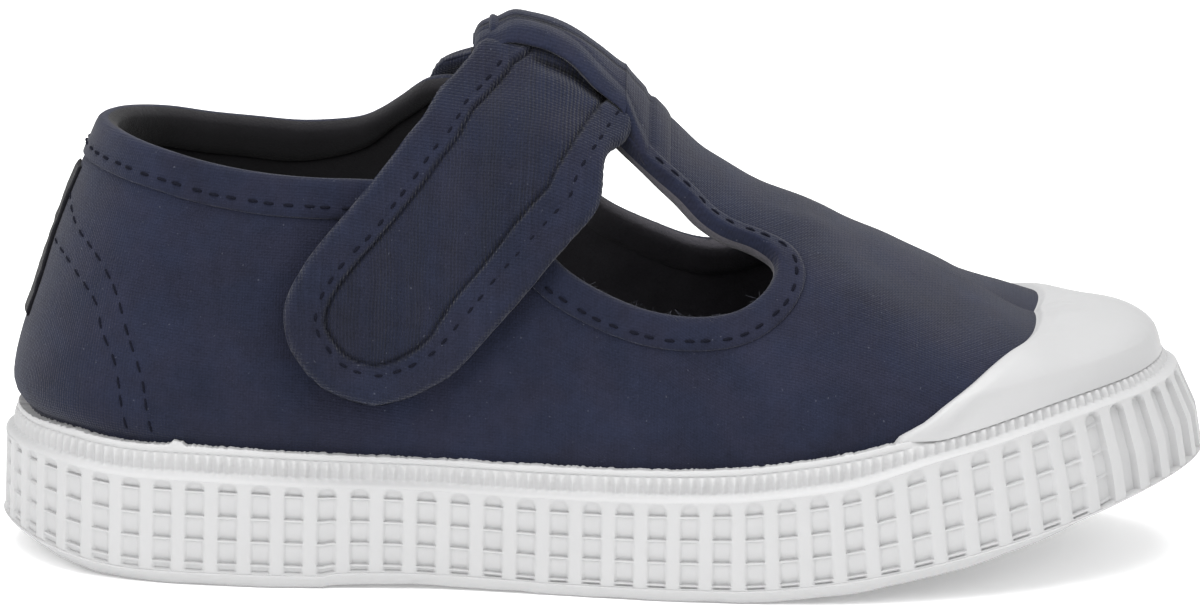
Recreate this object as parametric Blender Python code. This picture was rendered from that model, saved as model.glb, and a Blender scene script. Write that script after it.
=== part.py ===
import math

import bmesh
import bpy
from mathutils import Vector

# Driving sizes in millimetres. +X is the toe, +Y the inner side of the foot, +Z up, and the floor is 0.
MM = 0.001
LENGTH = 156.0
BALL_WIDTH = 64.5
TOP_HEIGHT = 72.5
HEEL_RADIUS = 24.0
TOE_RADIUS = 25.0

# Sole
TOE_SPRING = 12.8
SPRING_START = 0.615
HEEL_LIFT = 3.2
HEEL_LIFT_SHARE = 0.12
ARCH_RISE = 0.6
ARCH_START = 0.27
ARCH_END = 0.46
RUBBER_BOTTOM = 6.2
SIDE_PITCHES = 43
RIB_SHARE = 0.52
RIB_SLOPE_SHARE = 0.07
GROOVE_DEPTH = 1.1
CUP_WALL = 1.7
WALL_LEAN = 0.5
SIDE_HEIGHT = 18.7
EDGE_TUCK = 4.4
CLOTH_SWELL = 2.1
LIP_INSET = 1.95
CHANNEL_WIDTH = 2.2
CHANNEL_DEPTH = 1.3
CHANNEL_END = 6.0

# Cloth and fittings
GAP = 0.3
CANVAS = 1.8
TAPE_WIDTH = 5.4
TAPE_RISE = 0.6
TAPE_FOOT = 6.0
STRAP_THICK = 2.0
STRAP_EDGE = 4.4
STRAP_EDGE_STEP = 0.5
STRAP_EDGE_RISE = 0.45
PATCH_THICK = 0.8
LOOP_THICK = 1.6
CAP_THICK = 1.0
INSOLE_THICK = 2.0
LABEL_THICK = 0.6
LABEL_WIDTH = 12.0

# Where the shell's ribs of cloth end on the ridge, as shares of the length
HEEL_FAN = 0.25
HEEL_POLE = 0.18
TOE_FAN = 0.80
TOE_POLE = 0.885

# Rise at which the cloth swells most over the lip
SWELL_RISE = 0.07

# Middle overlap of the two halves of the opening
HALF_LAP = 0.43

# Mesh steps
SHELL_STATIONS = 36
SHELL_RISES = 13

# Plan of the sole: share of length, centre line and half width as shares of the ball width
PLAN = (
    (0.05, 0.000, 0.281),
    (0.12, 0.000, 0.373),
    (0.20, -0.003, 0.404),
    (0.35, -0.014, 0.388),
    (0.45, -0.032, 0.403),
    (0.55, -0.034, 0.448),
    (0.65, -0.014, 0.486),
    (0.72, 0.002, 0.500),
    (0.80, 0.020, 0.476),
    (0.88, 0.044, 0.410),
    (0.95, 0.068, 0.282),
)

# Side of the sole: share of length, height of the lip over the underside as a share of the side
# height, tuck of the bottom edge and of the top edge as shares of the edge tuck, and swell of the
# cloth over the lip as a share of the cloth swell
SIDE = (
    (0.00, 0.860, 0.41, 0.00, 1.00),
    (0.05, 0.968, 0.31, 0.00, 0.77),
    (0.12, 0.998, 0.21, 0.00, 0.53),
    (0.20, 0.992, 0.15, 0.00, 0.38),
    (0.32, 0.950, 0.09, 0.00, 0.24),
    (0.44, 0.924, 0.09, 0.00, 0.24),
    (0.56, 0.946, 0.12, 0.00, 0.21),
    (0.64, 0.984, 0.13, 0.00, 0.20),
    (0.70, 0.998, 0.14, 0.00, 0.19),
    (0.82, 1.000, 0.32, 0.07, 0.14),
    (0.90, 0.964, 0.64, 0.27, 0.00),
    (1.00, 0.800, 1.00, 0.55, 0.00),
)

# Outside of the sole from the bottom up: share of the lip height, inset as a share of the lip's
BAND_BOTTOM = (0.094, 0.00)
RIB_BOTTOM = (0.106, 0.10)
RIB_TOP = (0.752, 0.13)
BAND_TOP = (0.764, 0.73)
MILLED_TOP = (0.922, 0.80)
LIP_FOOT = (0.932, 0.95)
LIP_TOP = (1.000, 1.00)

# Channels of the tread as shares of the length
CHANNELS = (0.075, 0.12, 0.165, 0.21, 0.50, 0.545, 0.59, 0.635, 0.68, 0.725, 0.77, 0.815)

# Ridge of the last: share of length, height as share of the top height, roundness, and centre line
# as a share of the ball width
RIDGE = (
    (0.00, 1.010, 1.68, 0.000),
    (0.18, 0.998, 1.74, 0.000),
    (0.27, 0.975, 1.92, 0.000),
    (0.36, 0.957, 1.86, 0.000),
    (0.42, 0.938, 1.80, 0.003),
    (0.46, 0.912, 1.80, 0.006),
    (0.50, 0.860, 1.80, 0.009),
    (0.545, 0.812, 1.85, 0.016),
    (0.585, 0.736, 1.90, 0.022),
    (0.63, 0.676, 1.95, 0.028),
    (0.67, 0.640, 2.00, 0.034),
    (0.71, 0.594, 2.02, 0.040),
    (0.77, 0.536, 2.05, 0.051),
    (0.82, 0.481, 2.05, 0.060),
    (0.86, 0.436, 2.05, 0.068),
    (0.90, 0.437, 2.15, 0.076),
)

# Edge of the bar along the instep: share of length, height as share of the top height
BAR_EDGE = (
    (0.389, 0.898),
    (0.436, 0.880),
    (0.475, 0.850),
    (0.500, 0.814),
    (0.516, 0.782),
    (0.540, 0.740),
    (0.565, 0.698),
    (0.583, 0.660),
    (0.603, 0.632),
    (0.628, 0.612),
)

# Edges of the opening: share of length, height as share of the top height, and width of the tape
# there as a share of the tape width, where minus means no tape
COLLAR = (
    (-0.100, 0.790, 1.00),
    (0.060, 0.790, 1.00),
    (0.124, 0.772, 1.00),
    (0.167, 0.753, 1.00),
    (0.208, 0.741, 1.00),
    (0.250, 0.734, 1.00),
)
QUARTER_LATERAL = (
    (0.320, 0.728, 0.96),
    (0.380, 0.712, 0.93),
    (0.418, 0.676, 0.89),
    (0.448, 0.622, 0.85),
    (0.474, 0.574, 0.85),
    (0.510, 0.536, 0.85),
    (0.545, 0.514, 0.85),
    (0.580, 0.506, 0.85),
    (0.613, 0.514, 0.85),
    (0.637, 0.544, 0.81),
)
QUARTER_MEDIAL = (
    (0.292, 0.744, 0.74),
    (0.312, 0.764, -0.11),
    (0.330, 0.794, -0.11),
    (0.352, 0.832, -0.11),
    (0.382, 0.836, -0.11),
    (0.412, 0.800, -0.11),
    (0.445, 0.726, -0.11),
    (0.475, 0.650, 0.11),
    (0.500, 0.596, 0.74),
    (0.540, 0.548, 0.81),
    (0.578, 0.516, 0.85),
    (0.611, 0.516, 0.85),
    (0.636, 0.546, 0.81),
)
CUT_FRONT = (0.646, 0.583, 0.67)
BAR_TAPE = 0.44
NO_TAPE = -0.11
LOOP_FRONT = 0.548

# Loop of the bar: share of length, whether the strap's tunnel runs under it there, and its top face
# as a share of the loop's height over the bar's lower layer
LOOP = (
    (0.3895, False, 0.12),
    (0.3915, False, 0.38),
    (0.3945, False, 0.60),
    (0.3985, False, 0.79),
    (0.4000, True, 0.83),
    (0.4085, True, 0.93),
    (0.4170, True, 0.99),
    (0.4340, True, 1.00),
    (0.4500, True, 1.00),
    (0.4650, True, 0.98),
    (0.4800, True, 0.94),
    (0.4950, True, 0.88),
    (0.5090, True, 0.83),
    (0.5100, False, 0.83),
    (0.5220, False, 0.55),
    (0.5360, False, 0.26),
    (0.5500, False, 0.10),
)

# Strap: place round the foot, where 0 is the ridge and 1 the edge of the sole, minus for the outer
# side; then its rear and its front edge as shares of the length
STRAP = (
    (-0.912, 0.3010, 0.3120),
    (-0.905, 0.2842, 0.3261),
    (-0.885, 0.2633, 0.3471),
    (-0.850, 0.2465, 0.3722),
    (-0.815, 0.2350, 0.3880),
    (-0.770, 0.2307, 0.4050),
    (-0.730, 0.2350, 0.4200),
    (-0.690, 0.2462, 0.4345),
    (-0.645, 0.2631, 0.4500),
    (-0.580, 0.2878, 0.4700),
    (-0.490, 0.3167, 0.4915),
    (-0.400, 0.3430, 0.4940),
    (-0.310, 0.3770, 0.4970),
    (-0.270, 0.3940, 0.4990),
    (-0.235, 0.4027, 0.5010),
    (-0.150, 0.4035, 0.5040),
    (-0.070, 0.4040, 0.5045),
    (0.000, 0.4040, 0.5050),
    (0.070, 0.4040, 0.5040),
    (0.150, 0.4035, 0.5020),
    (0.240, 0.4027, 0.4980),
    (0.290, 0.3830, 0.4930),
    (0.350, 0.3610, 0.4860),
    (0.430, 0.3500, 0.4760),
    (0.510, 0.3470, 0.4680),
    (0.600, 0.3450, 0.4600),
)
STRAP_ON_BAR = 0.26
STRAP_ON_QUARTER = 0.40

# Patch under the strap's end: place round the foot, rear and front edge as shares of the length
PATCH = (
    (-0.865, 0.2680, 0.3330),
    (-0.810, 0.2530, 0.3680),
    (-0.735, 0.2550, 0.3920),
    (-0.665, 0.2800, 0.4020),
)

# Rear edge of the toe cap from the ridge down to the lip: shares of length and of the top height
CAP_EDGE = (
    (0.882, 0.486),
    (0.866, 0.456),
    (0.839, 0.437),
    (0.810, 0.395),
    (0.787, 0.359),
    (0.775, 0.333),
    (0.757, 0.308),
    (0.735, 0.288),
)
CAP_FOOT = 0.03

NAVY = (0.030, 0.036, 0.075, 1.0)
NAVY_STRAP = (0.034, 0.040, 0.080, 1.0)
DARK = (0.012, 0.012, 0.016, 1.0)
WHITE = (0.72, 0.72, 0.72, 1.0)
CAP_WHITE = (0.78, 0.78, 0.78, 1.0)
INSOLE_GREY = (0.10, 0.10, 0.11, 1.0)


# Tables and plan curves
def smooth(rows, column, share):
    """Value of one column of a table at a share, on a smooth curve through its rows."""
    if share <= rows[0][0]:
        return rows[0][column]
    if share >= rows[-1][0]:
        return rows[-1][column]
    k = 0
    while rows[k + 1][0] < share:
        k += 1
    x0, x1 = rows[k][0], rows[k + 1][0]
    y0, y1 = rows[k][column], rows[k + 1][column]
    chord = (y1 - y0) / (x1 - x0)
    before = chord
    after = chord
    if k > 0:
        before = (y1 - rows[k - 1][column]) / (x1 - rows[k - 1][0])
    if k + 2 < len(rows):
        after = (rows[k + 2][column] - y0) / (rows[k + 2][0] - x0)
    step = x1 - x0
    t = (share - x0) / step
    return (
        y0 * (1 + 2 * t) * (1 - t) ** 2
        + before * step * t * (1 - t) ** 2
        + y1 * t * t * (3 - 2 * t)
        + after * step * t * t * (t - 1)
    )


def fullness_rows():
    """Plan rows with the half width divided by the ring of an ellipse, so that both ends are round."""
    rows = [(0.0, 0.0, math.sqrt(HEEL_RADIUS * LENGTH / 2))]
    for share, centre, half in PLAN:
        rows.append((share, centre * BALL_WIDTH, half * BALL_WIDTH / (2 * math.sqrt(share * (1 - share)))))
    rows.append((1.0, RIDGE[-1][3] * BALL_WIDTH, math.sqrt(TOE_RADIUS * LENGTH / 2)))
    return rows


FULLNESS = fullness_rows()


def length_x(share):
    """X of a share of the length."""
    return (share - 0.5) * LENGTH


def share_at(angle):
    """Share of the length at a ring angle: 0 is the back of the heel and pi the toe."""
    return (1 - math.cos(angle)) / 2


def plan_point(angle):
    """Point of the sole's widest outline in plan."""
    share = share_at(angle)
    y = smooth(FULLNESS, 1, share) + smooth(FULLNESS, 2, share) * math.sin(angle)
    return Vector((length_x(share), y))


def plan_outward(angle):
    """Outward normal of the outline in plan."""
    step = 0.004
    along = plan_point(angle + step) - plan_point(angle - step)
    return Vector((-along.y, along.x)).normalized()


def station_angles(count, parts):
    """Ring angles from heel to toe, evenly spaced along the outline, with shares inside each step."""
    fine = 1200
    angles = [math.pi * k / fine for k in range(fine + 1)]
    run = [0.0]
    for k in range(fine):
        near = (plan_point(angles[k + 1]) - plan_point(angles[k])).length
        far = (plan_point(-angles[k + 1]) - plan_point(-angles[k])).length
        run.append(run[-1] + (near + far) / 2)
    places = []
    for j in range(count):
        for part in parts:
            places.append(run[-1] * (j + part) / count)
    places.append(run[-1])
    found = []
    k = 0
    for place in places:
        while k < fine - 1 and run[k + 1] < place:
            k += 1
        t = (place - run[k]) / (run[k + 1] - run[k])
        found.append(angles[k] + (angles[k + 1] - angles[k]) * t)
    return found


def whole_ring(half):
    """Angles all round: inner side from heel to toe, then outer side back to the heel."""
    return list(half) + [2 * math.pi - a for a in reversed(half[1:-1])]


# Heights
def spring(share):
    """Rise of the underside at toe and heel."""
    toe = max(0.0, (share - SPRING_START) / (1 - SPRING_START))
    heel = max(0.0, 1 - share / HEEL_LIFT_SHARE)
    return TOE_SPRING * toe ** 1.5 + HEEL_LIFT * heel ** 2


def under(share):
    """Height of the underside, with the shallow arch in front of the heel."""
    rise = 0.0
    if ARCH_START < share < ARCH_END:
        part = (share - ARCH_START) / (ARCH_END - ARCH_START)
        rise = ARCH_RISE * math.sin(math.pi * math.sqrt(part))
    return spring(share) + rise


def side_height(share):
    """Height of the lip of the sole over the underside."""
    return smooth(SIDE, 1, share) * SIDE_HEIGHT


def lip_height(share):
    """Height of the lip of the sole above the floor."""
    return spring(share) + side_height(share)


def lean(share):
    """How far the side leans back for each millimetre up, which follows the toe spring."""
    toe = max(0.0, (share - SPRING_START) / (1 - SPRING_START))
    return WALL_LEAN * TOE_SPRING * 1.5 * toe ** 0.5 / (1 - SPRING_START) / LENGTH


def side_point(angle, height_share, inset, floor_from_arch=True):
    """Point on the side of the sole at a share of its height."""
    share = share_at(angle)
    bottom = under(share) if floor_from_arch else spring(share)
    top = lip_height(share)
    start = (RUBBER_BOTTOM + GAP) / side_height(share)
    tuck = smooth(SIDE, 3, share) * EDGE_TUCK * max(0.0, (height_share - start) / (1 - start))
    flat = plan_point(angle) - plan_outward(angle) * (inset + tuck)
    z = bottom + (top - bottom) * height_share
    shift = lean(share) * (z - (bottom + top) / 2)
    return Vector((flat.x - shift, flat.y, z))


def level_point(angle, level, inset):
    """Point on the side at a level in millimetres over the underside, which leaves the arch out."""
    return side_point(angle, level / side_height(share_at(angle)), inset, False)


# The outer skin of the upper
FOOT_INSET = GROOVE_DEPTH + CUP_WALL + GAP


def ridge_share(share):
    """Share of the length where the rib of cloth from this station meets the ridge."""
    if share < HEEL_FAN:
        return HEEL_POLE + (HEEL_FAN - HEEL_POLE) * share / HEEL_FAN
    if share > TOE_FAN:
        return TOE_FAN + (TOE_POLE - TOE_FAN) * (share - TOE_FAN) / (1 - TOE_FAN)
    return share


def ridge_point(share):
    """Point of the ridge of the last."""
    on = ridge_share(share)
    return Vector((length_x(on), smooth(RIDGE, 3, on) * BALL_WIDTH, smooth(RIDGE, 1, on) * TOP_HEIGHT))


def skin(angle, rise):
    """Outer skin: rise 0 is at the lip of the sole and 1 on the ridge."""
    share = share_at(angle)
    foot = side_point(angle, 1.0, FOOT_INSET, False)
    top = ridge_point(share)
    power = 2 / smooth(RIDGE, 2, ridge_share(share))
    turn = min(max(rise, 0.0), 1.0) * math.pi / 2
    inward = 1 - max(math.cos(turn), 0.0) ** power
    upward = math.sin(turn) ** power
    part = max(rise, 0.0) / SWELL_RISE
    swell = smooth(SIDE, 4, share) * CLOTH_SWELL * part * math.exp(1 - part)
    out = plan_outward(angle) * swell
    return Vector(
        (
            foot.x + (top.x - foot.x) * inward + out.x,
            foot.y + (top.y - foot.y) * inward + out.y,
            foot.z + (top.z - foot.z) * upward,
        )
    )


def skin_normal(angle, rise):
    """Outward normal of the outer skin."""
    outward = plan_outward(angle)
    if rise < 0.001:
        return Vector((outward.x, outward.y, 0.0))
    if rise > 0.985:
        share = share_at(angle)
        step = 0.004
        ahead = ridge_point(min(share + step, 1.0)) - ridge_point(max(share - step, 0.0))
        return Vector((-ahead.z, 0.0, ahead.x)).normalized()
    low = max(rise - 0.01, 0.0005)
    high = min(low + 0.02, 0.999)
    up = skin(angle, high) - skin(angle, low)
    along = skin(angle + 0.004, (low + high) / 2) - skin(angle - 0.004, (low + high) / 2)
    normal = up.cross(along).normalized()
    if normal.x * outward.x + normal.y * outward.y + 0.3 * normal.z < 0:
        normal = -normal
    return normal


def over_skin(angle, rise, distance):
    """Point at a distance outside the skin."""
    return skin(angle, rise) + skin_normal(angle, rise) * distance


def wrap_point(share, place, distance):
    """Point outside the skin from a share of the length and a place round the foot, minus is outer."""
    angle = math.acos(max(-1.0, min(1.0, 1 - 2 * share)))
    if place < 0:
        angle = 2 * math.pi - angle
    return over_skin(angle, 1 - abs(place), distance)


def place_at_height(share, height):
    """Place round the foot where the skin has this height."""
    foot = lip_height(share)
    top = ridge_point(share).z
    part = min(max((height - foot) / (top - foot), 0.0), 1.0)
    turn = math.asin(part ** (smooth(RIDGE, 2, share) / 2))
    return 1 - turn / (math.pi / 2)


# Blender helpers
def clear_scene():
    for item in list(bpy.data.objects):
        bpy.data.objects.remove(item, do_unlink=True)
    for group in list(bpy.data.collections):
        bpy.data.collections.remove(group)


def new_collection(name):
    group = bpy.data.collections.new(name)
    bpy.context.scene.collection.children.link(group)
    return group


def new_material(name, colour, roughness, metallic=0.0):
    made = bpy.data.materials.new(name)
    made.use_nodes = True
    shader = made.node_tree.nodes["Principled BSDF"]
    shader.inputs["Base Color"].default_value = colour
    shader.inputs["Roughness"].default_value = roughness
    shader.inputs["Metallic"].default_value = metallic
    made.diffuse_color = colour
    return made


def new_body(name, points, faces, group, material=None):
    """Closed body from points in millimetres, with doubled points merged and normals outward."""
    mesh = bpy.data.meshes.new(name)
    mesh.from_pydata([tuple(p * MM) for p in points], [], faces)
    work = bmesh.new()
    work.from_mesh(mesh)
    bmesh.ops.remove_doubles(work, verts=work.verts, dist=0.00001)
    bmesh.ops.dissolve_degenerate(work, edges=work.edges, dist=0.000001)
    bmesh.ops.recalc_face_normals(work, faces=work.faces)
    work.to_mesh(mesh)
    work.free()
    item = bpy.data.objects.new(name, mesh)
    group.objects.link(item)
    if material:
        mesh.materials.append(material)
    return item


def two_skins(outer, inner, ring, zipped):
    """Points and faces between two equal grids of points; ring closes the rows, zipped the last row."""
    rows = len(outer)
    columns = len(outer[0])
    points = [p for row in outer for p in row] + [p for row in inner for p in row]
    second = rows * columns

    def at(row, column, layer):
        return layer * second + row * columns + column % columns

    faces = []
    last = columns if ring else columns - 1
    for r in range(rows - 1):
        for c in range(last):
            faces.append((at(r, c, 0), at(r, c + 1, 0), at(r + 1, c + 1, 0), at(r + 1, c, 0)))
            faces.append((at(r + 1, c, 1), at(r + 1, c + 1, 1), at(r, c + 1, 1), at(r, c, 1)))
    for c in range(last):
        faces.append((at(0, c + 1, 0), at(0, c, 0), at(0, c, 1), at(0, c + 1, 1)))
        if not zipped:
            end = rows - 1
            faces.append((at(end, c, 0), at(end, c + 1, 0), at(end, c + 1, 1), at(end, c, 1)))
    if not ring:
        for r in range(rows - 1):
            faces.append((at(r, 0, 0), at(r + 1, 0, 0), at(r + 1, 0, 1), at(r, 0, 1)))
            edge = columns - 1
            faces.append((at(r + 1, edge, 0), at(r, edge, 0), at(r, edge, 1), at(r + 1, edge, 1)))
    return points, faces


def apply_boolean(target, cutter, operation):
    """Exact Boolean, applied at once."""
    tool = target.modifiers.new(operation.lower(), "BOOLEAN")
    tool.solver = "EXACT"
    tool.operation = operation
    tool.object = cutter
    bpy.context.view_layer.objects.active = target
    for item in bpy.context.view_layer.objects:
        item.select_set(False)
    target.select_set(True)
    bpy.ops.object.modifier_apply(modifier=tool.name)


def shade_smooth(item, angle=0.6):
    for face in item.data.polygons:
        face.use_smooth = True
    item.data.set_sharp_from_angle(angle=angle)


def curve_through(rows, pieces):
    """Rows on a smooth curve through the given rows, with more of them between."""
    out = []
    for k in range(len(rows) - 1):
        before = rows[max(k - 1, 0)]
        start = rows[k]
        end = rows[k + 1]
        after = rows[min(k + 2, len(rows) - 1)]
        for step in range(pieces):
            t = step / pieces
            out.append(
                tuple(
                    0.5
                    * (
                        2 * b
                        + (c - a) * t
                        + (2 * a - 5 * b + 4 * c - d) * t * t
                        + (3 * b - a - 3 * c + d) * t ** 3
                    )
                    for a, b, c, d in zip(before, start, end, after)
                )
            )
    out.append(rows[-1])
    return out


def prism(name, outline, y_from, y_to, group):
    """Prism across the shoe from an outline of X and Z."""
    count = len(outline)
    points = [Vector((x, y_from, z)) for x, z in outline]
    points += [Vector((x, y_to, z)) for x, z in outline]
    faces = [tuple(range(count)), tuple(reversed(range(count, 2 * count)))]
    for k in range(count):
        nxt = (k + 1) % count
        faces.append((k, nxt, count + nxt, count + k))
    return new_body(name, points, faces, group)


# Opening of the upper
def opening_rows(quarter):
    """Edge of the opening on one side, from the heel round the cut-out and up the bar."""
    rows = list(COLLAR) + list(quarter) + [CUT_FRONT]
    for share, height in reversed(BAR_EDGE):
        tape = BAR_TAPE if share > LOOP_FRONT else NO_TAPE
        rows.append((share, height, tape))
    smooth_rows = curve_through(rows, 3)
    return [(length_x(s), h * TOP_HEIGHT, tape * TAPE_WIDTH) for s, h, tape in smooth_rows]


def opening_outline(quarter, with_tape):
    """Closed outline of the opening, or of the opening with its tape."""
    rows = opening_rows(quarter)
    outline = []
    for k, (x, z, tape) in enumerate(rows):
        ahead = rows[min(k + 1, len(rows) - 1)]
        behind = rows[max(k - 1, 0)]
        along = Vector((ahead[0] - behind[0], ahead[1] - behind[1])).normalized()
        move = tape if with_tape else 0.0
        outline.append((x + along.y * move, z - along.x * move))
    back = outline[-1][0]
    outline.append((back, 1.4 * TOP_HEIGHT))
    outline.append((outline[0][0], 1.4 * TOP_HEIGHT))
    return outline


# Parts
def build_sole(group, cutters, material):
    """Cup sole: ribbed side, milled step, lip, footbed, and a tread with channels."""
    slope = RIB_SLOPE_SHARE
    edge = (1 - RIB_SHARE) / 2
    coarse_half = station_angles(SIDE_PITCHES, (0.0,))
    coarse = whole_ring(coarse_half)
    count = len(coarse)
    points = []

    def add_ring(angles, height_share, inset_at):
        start = len(points)
        for k, angle in enumerate(angles):
            points.append(side_point(angle, height_share, inset_at(k, angle)))
        return start

    def plain(inset):
        return lambda k, angle: inset

    bottom = add_ring(coarse, 0.0, lambda k, a: smooth(SIDE, 2, share_at(a)) * EDGE_TUCK)
    band = add_ring(coarse, BAND_BOTTOM[0], plain(BAND_BOTTOM[1] * LIP_INSET))
    rib_angles = []
    rib_depth = []
    half = station_angles(SIDE_PITCHES, (0.0, edge, edge + slope, 1 - edge - slope, 1 - edge))
    ring_fine = whole_ring(half)
    per = 5
    half_count = len(half) - 1
    for k, angle in enumerate(ring_fine):
        place = k if k <= half_count else 2 * half_count - k
        inside = place % per
        rib_angles.append(angle)
        rib_depth.append(0.0 if inside in (2, 3) else GROOVE_DEPTH)
    low = add_ring(rib_angles, RIB_BOTTOM[0], lambda k, a: RIB_BOTTOM[1] * LIP_INSET + rib_depth[k])
    high = add_ring(rib_angles, RIB_TOP[0], lambda k, a: RIB_TOP[1] * LIP_INSET + rib_depth[k])
    band_top = add_ring(coarse, BAND_TOP[0], plain(BAND_TOP[1] * LIP_INSET))
    milled = add_ring(coarse, MILLED_TOP[0], plain(MILLED_TOP[1] * LIP_INSET))
    lip_foot = add_ring(coarse, LIP_FOOT[0], plain(LIP_FOOT[1] * LIP_INSET))
    lip_top = add_ring(coarse, LIP_TOP[0], plain(LIP_TOP[1] * LIP_INSET))
    wall = GROOVE_DEPTH + CUP_WALL
    inner_top = add_ring(coarse, LIP_TOP[0], plain(wall))
    inner_low = len(points)
    for angle in coarse:
        points.append(level_point(angle, RUBBER_BOTTOM, wall))

    faces = []

    def quads(first, second):
        for k in range(count):
            nxt = (k + 1) % count
            faces.append((first + k, first + nxt, second + nxt, second + k))

    fine_count = len(ring_fine)
    quads(bottom, band)
    for k in range(count):
        nxt = (k + 1) % count
        row = [low + (k * per + j) % fine_count for j in range(per + 1)]
        faces.append((band + k, band + nxt) + tuple(reversed(row)))
        row = [high + (k * per + j) % fine_count for j in range(per + 1)]
        faces.append(tuple(row) + (band_top + nxt, band_top + k))
    for k in range(fine_count):
        nxt = (k + 1) % fine_count
        faces.append((low + k, low + nxt, high + nxt, high + k))
    quads(band_top, milled)
    quads(milled, lip_foot)
    quads(lip_foot, lip_top)
    quads(lip_top, inner_top)
    quads(inner_top, inner_low)
    for start, flip in ((bottom, False), (inner_low, True)):
        for j in range(SIDE_PITCHES):
            a = start + j
            b = start + j + 1
            c = start + (count - j - 1) % count
            d = start + (count - j) % count
            face = [a, b, c, d]
            if j == 0:
                face = [a, b, c]
            if j == SIDE_PITCHES - 1:
                face = [a, b, d]
            if flip:
                face.reverse()
            faces.append(tuple(face))
    item = new_body("sole", points, faces, group, material)

    cut_points = []
    cut_faces = []
    for share in CHANNELS:
        reach = smooth(FULLNESS, 2, share) * 2 * math.sqrt(share * (1 - share)) - CHANNEL_END
        centre = smooth(FULLNESS, 1, share)
        base = len(cut_points)
        for x_part in (-0.5, 0.5):
            x_share = share + x_part * CHANNEL_WIDTH / LENGTH
            for y in (centre - reach, centre + reach):
                for z in (under(x_share) - CHANNEL_DEPTH, under(x_share) + CHANNEL_DEPTH):
                    cut_points.append(Vector((length_x(x_share), y, z)))
        for face in ((0, 1, 3, 2), (4, 6, 7, 5), (0, 4, 5, 1), (2, 3, 7, 6), (0, 2, 6, 4), (1, 5, 7, 3)):
            cut_faces.append(tuple(base + v for v in face))
    tread = new_body("tread_channels", cut_points, cut_faces, cutters)
    apply_boolean(item, tread, "DIFFERENCE")
    shade_smooth(item, 0.35)
    return item


def shell_grid(distance, level):
    """Grid over the whole skin at a distance outside it, from a level in the cup up to the ridge."""
    ring = whole_ring(station_angles(SHELL_STATIONS, (0.0,)))
    rows = [[level_point(a, level, FOOT_INSET - distance) for a in ring]]
    for k in range(SHELL_RISES + 1):
        rise = k / SHELL_RISES
        rows.append([over_skin(a, rise, distance) for a in ring])
    return rows


def build_upper(group, cutters, material):
    """Canvas shell on the last, open below, at the collar and at both cut-outs, with a taped edge."""
    low = RUBBER_BOTTOM + GAP
    points, faces = two_skins(shell_grid(0.0, low), shell_grid(-CANVAS, low), True, True)
    item = new_body("upper", points, faces, group, material)
    high = low + TAPE_FOOT
    points, faces = two_skins(shell_grid(TAPE_RISE, high), shell_grid(-CANVAS * 0.5, high), True, True)
    sides = (
        ("outer", QUARTER_LATERAL, -BALL_WIDTH, HALF_LAP),
        ("inner", QUARTER_MEDIAL, -HALF_LAP, BALL_WIDTH),
    )
    for name, quarter, y_from, y_to in sides:
        taped = new_body("tape_" + name, points, faces, cutters)
        outline = opening_outline(quarter, True)
        band = prism("tape_cut_" + name, outline, y_from, y_to, cutters)
        apply_boolean(taped, band, "INTERSECT")
        apply_boolean(item, taped, "UNION")
    for name, quarter, y_from, y_to in sides:
        hole = prism("opening_" + name, opening_outline(quarter, False), y_from, y_to, cutters)
        apply_boolean(item, hole, "DIFFERENCE")
    loop = build_loop(cutters)
    apply_boolean(item, loop, "UNION")
    shade_smooth(item, 0.7)
    return item


def build_loop(cutters):
    """Folded loop at the top of the bar, which leaves a tunnel for the strap."""
    across = 8
    top = []
    below = []
    tunnel = GAP + STRAP_THICK + GAP
    for share, open_below, top_share in LOOP:
        under_face = tunnel if open_below else -CANVAS / 2
        top_face = top_share * (tunnel + LOOP_THICK)
        edge = place_at_height(share, smooth(BAR_EDGE, 1, share) * TOP_HEIGHT) - 0.004
        top.append([wrap_point(share, edge * (2 * k / across - 1), top_face) for k in range(across + 1)])
        below.append([wrap_point(share, edge * (2 * k / across - 1), under_face) for k in range(across + 1)])
    points, faces = two_skins(top, below, False, False)
    return new_body("loop_form", points, faces, cutters)


def strap_distance(place):
    """Distance of the strap's under face from the skin: low on the bar, over the patch on the quarter."""
    part = (abs(place) - STRAP_ON_BAR) / (STRAP_ON_QUARTER - STRAP_ON_BAR)
    part = min(max(part, 0.0), 1.0)
    part = part * part * (3 - 2 * part)
    high = GAP + PATCH_THICK + GAP
    return GAP + (high - GAP) * part


def build_strap(group, material):
    """Ankle strap with a raised edge, from the inner quarter through the loop to its rounded end."""
    top = []
    below = []
    for place, rear, front in curve_through(STRAP, 1):
        width = (front - rear) * LENGTH
        edge = min(STRAP_EDGE / width, 0.36)
        step = min(STRAP_EDGE_STEP / width, 0.06)
        flat = abs(place) < STRAP_ON_QUARTER
        shares = (0.0, edge, edge + step, 0.5, 1 - edge - step, 1 - edge, 1.0)
        rises = (1.0, 1.0, 0.0, 0.0, 0.0, 1.0, 1.0)
        low = strap_distance(place)
        upper_row = []
        lower_row = []
        for part, rise in zip(shares, rises):
            share = rear + (front - rear) * part
            lift = 0.0 if flat else rise * STRAP_EDGE_RISE
            upper_row.append(wrap_point(share, place, low + STRAP_THICK + lift))
            lower_row.append(wrap_point(share, place, low))
        top.append(upper_row)
        below.append(lower_row)
    points, faces = two_skins(top, below, False, False)
    item = new_body("strap", points, faces, group, material)
    shade_smooth(item, 0.7)
    return item


def build_patch(group, material):
    """Hook-and-loop patch on the outer quarter, under the end of the strap."""
    top = []
    below = []
    for place, rear, front in PATCH:
        top.append([wrap_point(rear + (front - rear) * k / 4, place, GAP + PATCH_THICK) for k in range(5)])
        below.append([wrap_point(rear + (front - rear) * k / 4, place, GAP) for k in range(5)])
    points, faces = two_skins(top, below, False, False)
    item = new_body("fastener_patch", points, faces, group, material)
    shade_smooth(item, 0.7)
    return item


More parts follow.
